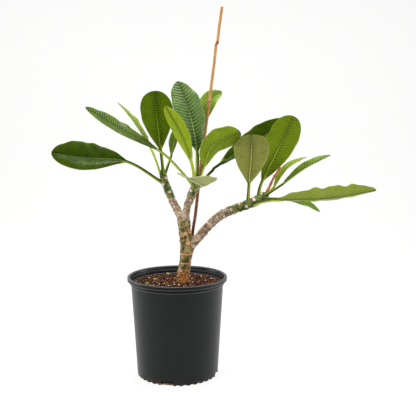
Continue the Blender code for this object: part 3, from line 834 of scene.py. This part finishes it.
cane = Finish("bamboo", specular_ior_level=0.3)
fibre = cane.noise(1.0, 4.0, 0.6, cane.stretched(900.0, 900.0, 22.0))
stain = cane.noise(1.0, 4.0, 0.6, cane.stretched(160.0, 160.0, 26.0))
low = cane.mix(cane.rise(fibre, 0.35, 0.65), (0.045, 0.011, 0.002), (0.22, 0.062, 0.014))
high = cane.mix(cane.rise(fibre, 0.35, 0.65), (0.36, 0.155, 0.034), (0.66, 0.340, 0.105))
cane_colour = cane.paint(
    low,
    # painted shade: between about 0.42 and 0.72 m the cane turns from straw-orange to dark brown under
    # the leaves
    (cane.rise(cane.height() + (stain - 0.5) * 0.25, 0.42, 0.72), high),
    (cane.rise(stain, 0.60, 0.74) * 0.50, (0.16, 0.060, 0.018)),
    (cane.attribute("knot") * 0.60, (0.40, 0.24, 0.15)),
    # the collar mark darkens each collar and the bud scar, and paints shade on the floor of the bore
    (cane.attribute("collar") * 0.9, (0.055, 0.022, 0.012)))
cane_material = cane.shade(base_color=cane_colour, roughness=0.42 + stain * 0.25,
                           normal=cane.bump(fibre, 0.0003))
stake = surface("bamboo_cane", stake_rings, closed_faces(len(stake_rings), STAKE_COLUMNS),
                cane_material, knot=knot_values, collar=collar_bud_and_bore_shade)
install(stake, "bamboo", "bamboo_stake")


# Leaves ----------------------------------------------------
# Thick waxy leaves, each a blade and its stalk in one piece, growing from the green branch tips.
# A ring of points is carried along the leaf's middle line: round in the stalk, then spread flat
# into a folded blade whose sheet is quilted between the side veins.

PETIOLE_HALF_WIDTH = 0.0036
PETIOLE_HALF_THICKNESS = 0.0028
PETIOLE_BASE_SWELL = 1.35
BLADE_HALF_THICKNESS = 0.0004
MIDRIB_DEPTH = 0.0022
TIP_HALF_WIDTH = 0.0009
TIP_SHORTFALL = 0.0008              # the tip ends this far before its middle line does
PETIOLE_ROWS = 34
BLADE_ROWS = 230
RING_POINTS = 64
VEIN_SLANT = 0.30                   # how far a side vein runs forwards for each metre outwards
VEIN_CURVE = 5.0                    # and how much more towards the margin, for each square metre
QUILT_HEIGHT = 0.00015
RAGGED = 0.016                      # how far the outline wanders, as a share of the half width
LINE_STEPS = 60                     # in each span of the middle line; the blade has the last two
BLADE_OPENING = 0.13                # share of the blade over which the stalk spreads flat
TIP_CROWDING = 1.25                 # above 1, the rows stand closer towards the tip
SWELL_LENGTH = 0.03
FOLD_ROUNDING = 0.0022
RIPPLE_LENGTHS = (0.052, 0.031)

# Branch, distance of the base back from the branch's tip, middle line, greatest width, the way the
# upper side faces, fold in degrees, fullness towards base and tip, wave of the margin, curl of the
# margin and the tone of its green.
LEAVES = {
    "leaf_left_low": (
        "left", 0.030, ((-0.128, 0.035, 0.542), (-0.232, 0.030, 0.553), (-0.318, 0.020, 0.566)),
        0.090, (0.0, -0.8, 0.6), 18, 0.95, 0.60, 0.0010, 0.15, "glossy"),
    "leaf_left_back": (
        "left", 0.014, ((-0.067, 0.056, 0.571), (-0.113, 0.075, 0.645), (-0.1595, 0.095, 0.695)),
        0.056, (0.78, -0.16, 0.56), 10, 1.0, 0.85, 0.0008, 0.05, "fresh"),
    "leaf_left_broad": (
        "left", 0.012, ((-0.041, 0.022, 0.572), (-0.049, 0.003, 0.662), (-0.052, -0.012, 0.719)),
        0.082, (0.0, 0.95, 0.3), 10, 1.0, 0.50, 0.0012, 0.06, "olive"),
    "leaf_left_small": (
        "left", 0.008, ((-0.017, 0.060, 0.556), (-0.011, 0.074, 0.588), (-0.005, 0.088, 0.627)),
        0.034, (-0.6, -0.6, 0.5), 15, 1.0, 0.60, 0.0004, 0.05, "bright"),
    "leaf_middle_left": (
        "middle", 0.024, ((0.011, -0.045, 0.525), (-0.036, -0.055, 0.571), (-0.130, -0.062, 0.626),
                          (-0.214, -0.065, 0.678)),
        0.062, (0.4, -0.4, 0.83), 8, 1.0, 0.65, 0.0010, 0.06, "sheen"),
    "leaf_middle_slim": (
        "middle", 0.012, ((0.038, -0.048, 0.546), (0.013, -0.068, 0.616), (-0.022, -0.092, 0.680)),
        0.046, (0.35, 0.75, 0.5), 12, 0.9, 0.60, 0.0006, 0.06, "yellow"),
    "leaf_middle_tall": (
        "middle", 0.006, ((0.052, -0.020, 0.569), (0.032, 0.000, 0.667), (0.001, 0.030, 0.744)),
        0.076, (0.25, -0.93, 0.27), 9, 0.9, 0.62, 0.0008, 0.10, "blue"),
    "leaf_middle_back": (
        "middle", 0.010, ((0.052, 0.070, 0.610), (0.080, 0.105, 0.693), (0.114, 0.122, 0.724)),
        0.0595, (-0.45, -0.75, 0.45), 15, 1.0, 0.60, 0.0004, 0.05, "clear"),
    "leaf_middle_broad": (
        "middle", 0.012, ((0.067, -0.042, 0.531), (0.090, -0.060, 0.586), (0.155, -0.080, 0.620)),
        0.067, (-0.35, 0.85, 0.4), 12, 0.9, 0.50, 0.0010, 0.06, "bright"),
    "leaf_middle_reaching": (
        "middle", 0.020, ((0.088, -0.020, 0.522), (0.107, -0.010, 0.538), (0.241, 0.040, 0.620),
                          (0.311, 0.050, 0.620)),
        0.066, (-0.2, -0.75, 0.6), 25, 0.8, 0.50, 0.0010, 0.06, "glossy"),
    "leaf_middle_front": (
        "middle", 0.030, ((0.062, -0.075, 0.490), (0.052, -0.145, 0.506), (0.034, -0.205, 0.520)),
        0.104, (0.13, 0.22, 0.97), 26, 0.8, 0.60, 0.0008, 0.16, "milky"),
    "leaf_right_round": (
        "right", 0.052, ((0.179, -0.037, 0.491), (0.183, -0.062, 0.571), (0.179, -0.087, 0.613)),
        0.086, (0.0, 0.93, 0.35), 8, 1.0, 0.50, 0.0012, 0.06, "pale"),
    "leaf_right_broad": (
        "right", 0.024, ((0.213, -0.018, 0.497), (0.258, -0.018, 0.590), (0.288, -0.028, 0.657)),
        0.081, (-0.2, 0.97, 0.1), 10, 0.9, 0.47, 0.0012, 0.06, "moss"),
    "leaf_right_slim": (
        "right", 0.020, ((0.240, -0.006, 0.478), (0.278, 0.010, 0.527), (0.330, 0.030, 0.555)),
        0.050, (-0.6, -0.15, 0.75), 20, 0.9, 0.70, 0.0006, 0.05, "lime"),
    "leaf_right_long": (
        "right", 0.010, ((0.258, -0.037, 0.489), (0.315, -0.047, 0.531), (0.376, -0.052, 0.563)),
        0.045, (-0.5, -0.25, 0.8), 25, 0.9, 0.70, 0.0006, 0.05, "clear"),
    "leaf_right_low": (
        "right", 0.055, ((0.240, -0.034, 0.4505), (0.380, -0.034, 0.456), (0.494, -0.032, 0.475)),
        0.076, (0.0, 0.6, 0.8), 25, 0.8, 0.60, 0.0020, 0.05, "fresh"),
    "leaf_right_under": (
        "right", 0.014, ((0.270, 0.010, 0.449), (0.325, 0.030, 0.435), (0.369, 0.042, 0.412)),
        0.048, (0.25, -0.35, 0.90), 15, 0.8, 0.65, 0.0006, 0.05, "clear"),
}

# Upper side, underside, midrib and margin of each tone of green, then how strongly painted sheen
# and shade stripe the sheet between its side veins, how dark the painted shadows beside the midrib
# are, roughness, gloss, how much painted shade darkens the blade's base, how far across the stalk
# its lit side reaches, how glazed the margins are and how far apart the side veins stand.
TONES = {
    "glossy": (
        (0.025, 0.050, 0.0006), (0.110, 0.170, 0.030), (0.09, 0.14, 0.008), (0.10, 0.16, 0.004),
        0.14, 0.50, 0.30, 0.03, 0.10, -0.0006, 0.34, 0.0072),
    "sheen": (
        (0.042, 0.080, 0.004), (0.110, 0.170, 0.030), (0.10, 0.15, 0.02), (0.25, 0.35, 0.04),
        0.85, 0.80, 0.46, 0.05, 0.65, -0.0008, 0.30, 0.0062),
    "blue": (
        (0.084, 0.155, 0.032), (0.120, 0.180, 0.050), (0.24, 0.34, 0.06), (0.22, 0.33, 0.09),
        0.58, 0.95, 0.36, 0.14, 0.35, 0.0000, 0.40, 0.0084),
    "olive": (
        (0.050, 0.095, 0.004), (0.086, 0.142, 0.001), (0.15, 0.23, 0.004), (0.13, 0.19, 0.004),
        0.14, 1.00, 0.55, 0.06, 0.20, 0.0000, 0.00, 0.0062),
    "moss": (
        (0.050, 0.100, 0.006), (0.148, 0.216, 0.002), (0.32, 0.42, 0.03), (0.20, 0.28, 0.02),
        0.16, 0.50, 0.55, 0.10, 0.15, 0.0006, 0.00, 0.0075),
    "bright": (
        (0.070, 0.130, 0.006), (0.212, 0.300, 0.010), (0.34, 0.44, 0.04), (0.42, 0.50, 0.06),
        0.16, 0.38, 0.55, 0.10, 0.00, 0.0012, 0.00, 0.0075),
    "yellow": (
        (0.120, 0.200, 0.008), (0.300, 0.410, 0.012), (0.20, 0.29, 0.008), (0.42, 0.52, 0.04),
        0.06, 0.12, 0.50, 0.12, 0.00, 0.0010, 0.00, 0.0070),
    "pale": (
        (0.130, 0.180, 0.060), (0.240, 0.252, 0.052), (0.40, 0.46, 0.09), (0.30, 0.33, 0.09),
        0.15, 0.62, 0.60, 0.06, 0.00, 0.0000, 0.00, 0.0052),
    "milky": (
        (0.130, 0.180, 0.060), (0.420, 0.440, 0.135), (0.75, 0.74, 0.46), (0.70, 0.70, 0.46),
        0.20, 0.50, 0.60, 0.10, 0.00, 0.0010, 0.00, 0.0070),
    "clear": (
        (0.090, 0.160, 0.004), (0.150, 0.230, 0.020), (0.22, 0.32, 0.02), (0.36, 0.46, 0.05),
        0.30, 0.50, 0.42, 0.08, 0.25, 0.0014, 0.10, 0.0070),
    "lime": (
        (0.270, 0.380, 0.012), (0.260, 0.330, 0.030), (0.18, 0.27, 0.02), (0.50, 0.60, 0.05),
        0.10, 0.25, 0.45, 0.06, 0.15, 0.0030, 0.00, 0.0070),
    "fresh": (
        (0.150, 0.230, 0.010), (0.250, 0.315, 0.035), (0.14, 0.21, 0.02), (0.50, 0.58, 0.08),
        0.22, 0.50, 0.45, 0.12, 0.10, 0.0026, 0.00, 0.0064),
}


def leaf_material(name, upper, under, midrib, margin, stripe, vein_shadow, roughness, gloss, depth,
                  lit_to, glaze, spacing):
    """Make the finish of one tone. The stored place gives x across the blade, y along it and which
    side a point is on, and edge is 0 at the midrib and 1 at the margin. Side veins repeat along
    y - slant |x| - curve x^2. A wet-looking band runs inside the margin of the upper side."""
    wax = Finish(f"leaf_{name}", specular_ior_level=gloss)
    place = wax.attribute("place", "Vector")
    x, y, top_side = (wax.node("ShaderNodeSeparateXYZ", {}, {0: place}, k) for k in range(3))
    blade = wax.attribute("blade")
    edge = wax.attribute("edge")
    away = abs(x)
    wander = wax.noise(90.0, 2.0, 0.5)
    count = (y - away * VEIN_SLANT - away * away * VEIN_CURVE + (wander - 0.5) * 0.004) / spacing
    from_vein = abs(count.math("FRACT", count) - 0.5)
    inner = (1.0 - wax.rise(edge, 0.80, 0.97)) * blade
    vein = wax.rise(from_vein, 0.28, 0.46) * inner
    hill = wax.rise(from_vein, 0.30, 0.05) * inner
    near_rib = 1.0 - wax.rise(away, 0.002, 0.012 + wander * 0.014)
    patch = wax.noise(38.0, 3.0, 0.5)
    blotch = wax.noise(110.0, 4.0, 0.6)
    fine = wax.noise(600.0, 3.0, 0.6)
    side = wax.mix(wax.rise(top_side, 0.45, 0.55), under, upper)
    lighter = wax.mix(0.45, side, margin)
    darker = wax.mix(0.72, side, (0.004, 0.010, 0.0004))
    vein_shadow_colour = wax.mix(0.92, side, (0.004, 0.010, 0.0004))
    rib = (1.0 - wax.rise(away, 0.0008, 0.0020)) * blade * (1.0 - wax.rise(y, 0.055, 0.135) * 0.75)
    rib_shadow = (1.0 - wax.rise(away, 0.0017, 0.0050)) * blade
    green = wax.paint(
        side,
        (wax.rise(patch, 0.30, 0.72) * 0.50, lighter),
        (wax.rise(blotch, 0.50, 0.72) * 0.35, darker),
        # painted sheen between the side veins and painted shade along them, striping the sheet
        (hill * stripe * (0.15 + blotch * 0.9), lighter),
        (vein * stripe * 0.65, darker),
        # painted shadows between the raised side veins beside the midrib
        (wax.rise(from_vein, 0.22, 0.40) * inner * near_rib * vein_shadow, vein_shadow_colour),
        (wax.rise(fine, 0.50, 0.75) * 0.15, darker),
        # painted shade: the blade darkens towards its base
        (wax.rise(y + (patch - 0.5) * 0.05, 0.100, 0.010) * depth, darker),
        (rib_shadow * 0.75, darker),
        (rib * 0.9, midrib),
        (wax.rise(edge, 0.93, 0.98) * blade * 0.7, margin))
    lit = wax.mix(0.35, margin, (0.40, 0.50, 0.02))
    shaded = wax.rise(x + (patch - 0.5) * 0.002, lit_to - 0.001, lit_to + 0.001)
    stalk = wax.mix(shaded, lit, darker)
    green = wax.mix(wax.rise(blade, 0.15, 0.85), stalk, green)
    quilt = wax.bump(hill - vein, 0.0005 * (0.3 + stripe))
    rough = roughness + 0.08 - patch * 0.16
    wet = wax.rise(edge, 0.30, 0.60) * (1.0 - wax.rise(edge, 0.80, 0.95))
    wet = wet * wax.rise(blotch, 0.38, 0.58) * wax.rise(y, 0.150, 0.100)
    wet = wet * top_side * blade * glaze
    return wax.shade(base_color=green, roughness=rough, coat_weight=wet, coat_roughness=0.22,
                     normal=wax.bump(fine, 0.00010, 1.0, quilt))


def branch_place(side, back):
    """Return the axis point and the radius of a branch at a distance back from its tip."""
    rows = smooth_path(BRANCHES[side], 8)[::-1]
    away = arc_lengths(rows)
    return np.array([np.interp(back, away, rows[:, k]) for k in range(4)])


def base_point(side, back, towards):
    """Return a point inside a branch, halfway out to the side that a stalk leaves it from."""
    x, y, z, radius = branch_place(side, back)
    axis_point = np.array([x, y, z])
    along = unit(axis_point - branch_place(side, back + 0.004)[:3])
    outward = np.array(towards) - axis_point
    outward = unit(outward - along * (outward @ along))
    return axis_point + outward * radius * 0.5


def leaf_grid(side, back, line, width, face, fold, base_fullness, tip_fullness, wave, curl,
              spacing, seed):
    """Return a leaf's rings of points and what is stored at them. With t from 0 at the blade's base
    to 1 at its tip, the half width is (t/m)^a ((1-t)/(1-m))^b with m = a / (a + b). Across a ring,
    the sheet rises with the fold, falls with the curl, waves at the margin and is quilted."""
    path = smooth_path((base_point(side, back, line[0]), *line), LINE_STEPS)
    length = arc_lengths(path)
    blade_start = length[-1 - 2 * LINE_STEPS]
    petiole = np.linspace(0.0, blade_start, PETIOLE_ROWS, endpoint=False)
    t_blade = 1 - (1 - np.linspace(0.0, 1.0, BLADE_ROWS)) ** TIP_CROWDING
    blade_length = length[-1] - TIP_SHORTFALL - blade_start
    stations = np.concatenate([petiole, blade_start + blade_length * t_blade])
    centres = np.column_stack([np.interp(stations, length, path[:, k]) for k in range(3)])
    along = unit(np.gradient(centres, stations, axis=0))
    across = unit(np.cross(along, np.array(face)))
    up = np.cross(across, along)
    t = np.concatenate([np.zeros(PETIOLE_ROWS), t_blade])
    widest = base_fullness / (base_fullness + tip_fullness)
    outline = (t / widest) ** base_fullness * ((1.0 - t) / (1.0 - widest)) ** tip_fullness
    swell = 1.0 + (PETIOLE_BASE_SWELL - 1.0) * clamp(1.0 - stations / SWELL_LENGTH)
    stalk_width = PETIOLE_HALF_WIDTH * swell * (1.0 - t) ** 2
    wing = np.sqrt((width / 2 * outline) ** 2 + stalk_width ** 2 + TIP_HALF_WIDTH ** 2)
    blade = clamp(t / BLADE_OPENING)
    blade = (blade * blade * (3 - 2 * blade))[:, None]

    round_x = -np.cos(circle(RING_POINTS))
    round_z = np.sin(circle(RING_POINTS))
    flat_x = np.sign(round_x) * np.abs(round_x) ** 1.6
    top_side = np.where(np.abs(round_z) < 1e-6, 0.5, (round_z > 0) * 1.0)
    a = np.abs(flat_x)[None, :]
    x = flat_x[None, :] * wing[:, None]
    depth = np.maximum(stations - blade_start, 0.0)[:, None]
    phase = mottle(np.array([[seed, 0.1, 0.2]]), 0.7, seed)[0] * 3.0
    edge_side = np.sign(flat_x)[None, :]
    long_turn, short_turn = (2 * math.pi * depth / length for length in RIPPLE_LENGTHS)
    ripple = np.sin(long_turn + phase + 1.9 * edge_side)
    ripple = ripple + 0.6 * np.sin(short_turn + 2.1 * phase - 1.1 * edge_side)
    x = x * (1.0 + RAGGED * a ** 2 * ripple)
    lift = (np.sqrt(x ** 2 + FOLD_ROUNDING ** 2) - FOLD_ROUNDING) * math.sin(math.radians(fold))
    wavy = wave * np.where(flat_x > 0, 1.0, 0.4)[None, :] * a ** 2 * ripple
    lift = lift - curl * wing[:, None] * a ** 3 + wavy * (wing[:, None] / (width / 2))
    count = (depth - np.abs(x) * VEIN_SLANT - x ** 2 * VEIN_CURVE) / spacing
    pillow = np.abs(np.sin(math.pi * (count - 0.5)))
    calm = (1 - a ** 5) * clamp(np.abs(x) / 0.003) * clamp((1 - t[:, None]) / 0.1)
    lift = lift + QUILT_HEIGHT * pillow * calm
    thick = BLADE_HALF_THICKNESS * (1.0 - 0.75 * a ** 6)
    rib = MIDRIB_DEPTH * (1.0 - t[:, None]) ** 0.8 * bell(x, 0.0017)
    groove = 0.00035 * bell(x, 0.0013)
    upper_z = lift + thick - groove
    lower_z = lift - thick - rib
    flat_z = np.where(top_side == 0.5, lift, np.where(top_side > 0.5, upper_z, lower_z))
    stalk_x = round_x[None, :] * wing[:, None]
    channel = 0.0006 * bell(stalk_x, 0.0012) * (round_z > 0)
    stalk_z = round_z[None, :] * (PETIOLE_HALF_THICKNESS * swell)[:, None] - channel
    ring_x = (1 - blade) * stalk_x + blade * x * math.cos(math.radians(fold))
    ring_z = (1 - blade) * stalk_z + blade * flat_z
    points = centres[:, None] + across[:, None] * ring_x[..., None]
    points = points + up[:, None] * ring_z[..., None]
    place = np.stack([x, depth + 0 * x, top_side[None, :] + 0 * x], axis=-1)
    return points, place.reshape(-1, 3), (blade + 0 * x).ravel(), (a + 0 * x).ravel()


tone_materials = {name: leaf_material(name, *colours) for name, colours in TONES.items()}
leaf_faces = closed_faces(PETIOLE_ROWS + BLADE_ROWS, RING_POINTS)
for seed, (node, (*form, tone)) in enumerate(LEAVES.items(), start=41):
    points, place, blade, edge = leaf_grid(*form, TONES[tone][-1], seed)
    leaf = surface(node.replace("leaf", "blade"), points, leaf_faces, tone_materials[tone],
                   place=place, blade=blade, edge=edge)
    install(leaf, "leaf", node)


# Stumps of old flower stalks -------------------------------
# Reddish woody stumps left at two branch tips where flower stalks were snapped off. Each is a
# knobbly tapered tube with a torn end.

# Branch, middle line, radius at its base and end, and how far its head flares.
STALKS = {
    "flower_stalk": (
        "right", ((0.230, -0.022, 0.482), (0.241, -0.023, 0.506), (0.257, -0.025, 0.532)),
        0.0036, 0.0026, 0.0006),
    "old_stalk_stub": (
        "left", ((-0.0385, 0.0405, 0.522), (-0.0395, 0.040, 0.528)), 0.0034, 0.0024, 0.0),
}
STUMP_COLUMNS = 32
KNOBS = 4.5                         # swellings along each stump
KNOB_SIZE = 0.10                    # as a share of its radius, and so are the next two
BUMP_SIZE = 0.07
TORN_SHARE = 0.45
TORN_DEPTH = 0.0009

dry = Finish("dry_stalk", roughness=0.7)
dry_patch = dry.noise(260.0, 4.0, 0.6)
dry_line = dry.noise(1.0, 3.0, 0.6, dry.stretched(700.0, 700.0, 160.0))
dry_colour = dry.paint(
    (0.20, 0.048, 0.012),
    (dry.rise(dry_patch, 0.35, 0.65), (0.56, 0.21, 0.070)),
    (dry.rise(dry_line, 0.55, 0.72) * 0.6, (0.055, 0.016, 0.010)))
dry_material = dry.shade(base_color=dry_colour, normal=dry.bump(dry_line, 0.0006))
for seed, (node, stalk) in enumerate(STALKS.items(), start=71):
    side, line, base_radius, end_radius, flare = stalk
    axis = smooth_path((branch_place(side, 0.008)[:3], *line), 24)
    share = arc_lengths(axis) / arc_lengths(axis)[-1]
    radii = base_radius + (end_radius - base_radius) * share
    radii = radii * (1 + KNOB_SIZE * np.cos(2 * math.pi * share * KNOBS))
    radii = radii + flare * (share > 0.93)
    stump_rings = tube_points(np.column_stack([axis, radii]), STUMP_COLUMNS)
    bumps = mottle(stump_rings, 0.004, seed)[..., None]
    stump_rings = stump_rings + (stump_rings - axis[:, None]) * BUMP_SIZE * bumps
    end_middle = stump_rings[-1].mean(axis=0)
    torn = end_middle + (stump_rings[-1] - end_middle) * TORN_SHARE
    torn = torn - unit(axis[-1] - axis[-2]) * TORN_DEPTH
    stump_rings = np.concatenate([stump_rings, torn[None]])
    stump = surface(f"{node}_stump", stump_rings, closed_faces(len(stump_rings), STUMP_COLUMNS),
                    dry_material)
    install(stump, "dry_stalk", node)


# Seedlings -------------------------------------------------
# Three tiny self-sown seedlings left of the trunk, each a thread of a stem and four oval leaves.

SEEDLINGS = ((-0.030, 0.080, 0.0060), (-0.058, 0.022, 0.0050), (-0.075, -0.030, 0.0060))
SPROUT_ROWS = 14
SPROUT_COLUMNS = 8
SPROUT_REACHES = (0.0050, 0.0062)   # how far its short and long leaves reach
SPROUT_HALF_WIDTH = 0.0021
SPROUT_THICKNESS = 0.00022


def sprout_leaf(start, end):
    """Return a small closed leaf: flat rings along an arc from start to end, their half width
    following sin(pi t), with a thin stalk before it."""
    t = np.linspace(0.0, 1.0, SPROUT_ROWS)
    run = end - start
    centre = start + run * t[:, None]
    centre[:, 2] += 0.25 * np.linalg.norm(run) * np.sin(math.pi * t * 0.9)
    across = unit(np.cross((0.0, 0.0, 1.0), run))
    open_share = clamp((t - 0.25) / 0.75)
    spread = np.maximum(SPROUT_HALF_WIDTH * np.sin(math.pi * open_share) ** 0.7, 0.00035)
    turn = circle(SPROUT_COLUMNS)[None, :, None]
    wide = np.cos(turn) * spread[:, None, None] * across
    high = np.sin(turn) * SPROUT_THICKNESS * np.array([0.0, 0.0, 1.0])
    return centre[:, None] + wide + high


sprout_parts = []
for index, (x, y, tall) in enumerate(SEEDLINGS):
    foot = np.array([x, y, float(soil_height(np.array(x), np.array(y))) - 0.001])
    head = foot + np.array([0.0006, 0.0, tall])
    thread = np.linspace(foot, head, SPROUT_ROWS)
    thread = np.column_stack([thread, np.linspace(0.0005, 0.0004, SPROUT_ROWS)])
    sprout_parts.append(tube_points(thread, SPROUT_COLUMNS))
    for k in range(4):
        turn = 0.7 * index + k * math.pi / 2 + 0.35
        way = np.array([math.cos(turn), math.sin(turn), 0.0])
        tip = head + way * SPROUT_REACHES[k % 2] + (0.0, 0.0, 0.0008)
        sprout_parts.append(sprout_leaf(head + 0.0002 * way, tip))
sprout_size = SPROUT_ROWS * SPROUT_COLUMNS
sprout_faces = []
for index in range(len(sprout_parts)):
    sprout_faces += shifted(closed_faces(SPROUT_ROWS, SPROUT_COLUMNS), index * sprout_size)
tender = Finish("seedling", roughness=0.5)
tender_patch = tender.noise(500.0, 3.0)
tender_colour = tender.mix(tender_patch, (0.20, 0.34, 0.03), (0.40, 0.52, 0.10))
tender_material = tender.shade(base_color=tender_colour, normal=tender.bump(tender_patch, 0.0002))
sprouts = surface("seedlings", np.concatenate(sprout_parts), sprout_faces, tender_material)
install(sprouts, "leaf")


# Studio ----------------------------------------------------
# White paper that runs along the floor and sweeps up behind, glowing so that it reads as plain
# white, in a dim room with soft lamps left, right and above. None of it is part of the plant.

CAMERA_PLACE = (0.0783, -1.696, 0.6425)
CAMERA_PITCH = math.radians(90 - 7.23)
CAMERA_LENS = 58.7
PAPER_HALF_WIDTH = 3.2
PAPER_FRONT = -2.4
PAPER_BACK = 2.4
PAPER_TOP = 2.6
SWEEP_RADIUS = 1.0

paper = Finish("studio_paper", roughness=0.95, specular_ior_level=0.0, emission_strength=1.0)
paper_y = paper.node("ShaderNodeSeparateXYZ", {}, {0: paper.position}, 1)
paper_tint = paper.mix(paper.noise(0.8, 2.0), (0.19, 0.19, 0.19), (0.21, 0.21, 0.21))
paper_glow = paper.mix(paper.rise(paper_y, -1.3, -0.35), (0.10, 0.10, 0.10), (0.79, 0.79, 0.785))
sweep_turn = np.linspace(0.0, math.pi / 2, 24)
sweep_y = PAPER_BACK - SWEEP_RADIUS + SWEEP_RADIUS * np.sin(sweep_turn)
sweep_y = np.concatenate([[PAPER_FRONT], sweep_y, [PAPER_BACK]])
sweep_z = np.concatenate([[0.0], SWEEP_RADIUS - SWEEP_RADIUS * np.cos(sweep_turn), [PAPER_TOP]])
sweep_x = np.array([-PAPER_HALF_WIDTH, PAPER_HALF_WIDTH])
paper_points = [(x, y, z) for y, z in zip(sweep_y, sweep_z) for x in sweep_x]
studio_paper = surface("studio_paper", paper_points,
                       grid_faces(len(sweep_y), 2, wrap_columns=False).reshape(-1, 4).tolist(),
                       paper.shade(base_color=paper_tint, emission_color=paper_glow))

world = bpy.data.worlds.new("studio_room")
world.use_nodes = True
room = world.node_tree.nodes["Background"]
room.inputs["Color"].default_value = (1.0, 1.0, 1.0, 1.0)
room.inputs["Strength"].default_value = 0.20
bpy.context.scene.world = world
bpy.context.scene.view_settings.view_transform = "Standard"


def soft_lamp(name, place, target, size, power):
    """Hang a square area lamp and turn it to face a target."""
    data = bpy.data.lights.new(name, "AREA")
    data.size = size
    data.energy = power
    lamp = bpy.data.objects.new(name, data)
    bpy.context.scene.collection.objects.link(lamp)
    lamp.location = place
    away = unit(np.array(place) - np.array(target))
    lamp.rotation_euler = (math.acos(away[2]), 0.0, math.atan2(away[1], away[0]) + math.pi / 2)


soft_lamp("key_lamp", (-1.3, -1.5, 1.9), (0.05, 0.0, 0.45), 0.8, 46.0)
soft_lamp("fill_lamp", (1.6, -1.2, 1.3), (0.05, 0.0, 0.45), 0.8, 18.0)
soft_lamp("top_lamp", (0.1, 0.4, 2.0), (0.05, 0.0, 0.45), 0.9, 36.0)
soft_lamp("left_lamp", (-1.7, 0.25, 0.55), (0.05, 0.0, 0.35), 0.7, 14.0)
soft_lamp("right_lamp", (1.8, 0.25, 0.55), (0.05, 0.0, 0.35), 0.7, 14.0)

camera_data = bpy.data.cameras.new("camera")
camera_data.lens = CAMERA_LENS
camera_data.sensor_width = 36.0
camera = bpy.data.objects.new("camera", camera_data)
camera.location = CAMERA_PLACE
camera.rotation_euler = (CAMERA_PITCH, 0.0, 0.0)
bpy.context.scene.collection.objects.link(camera)
bpy.context.scene.camera = camera
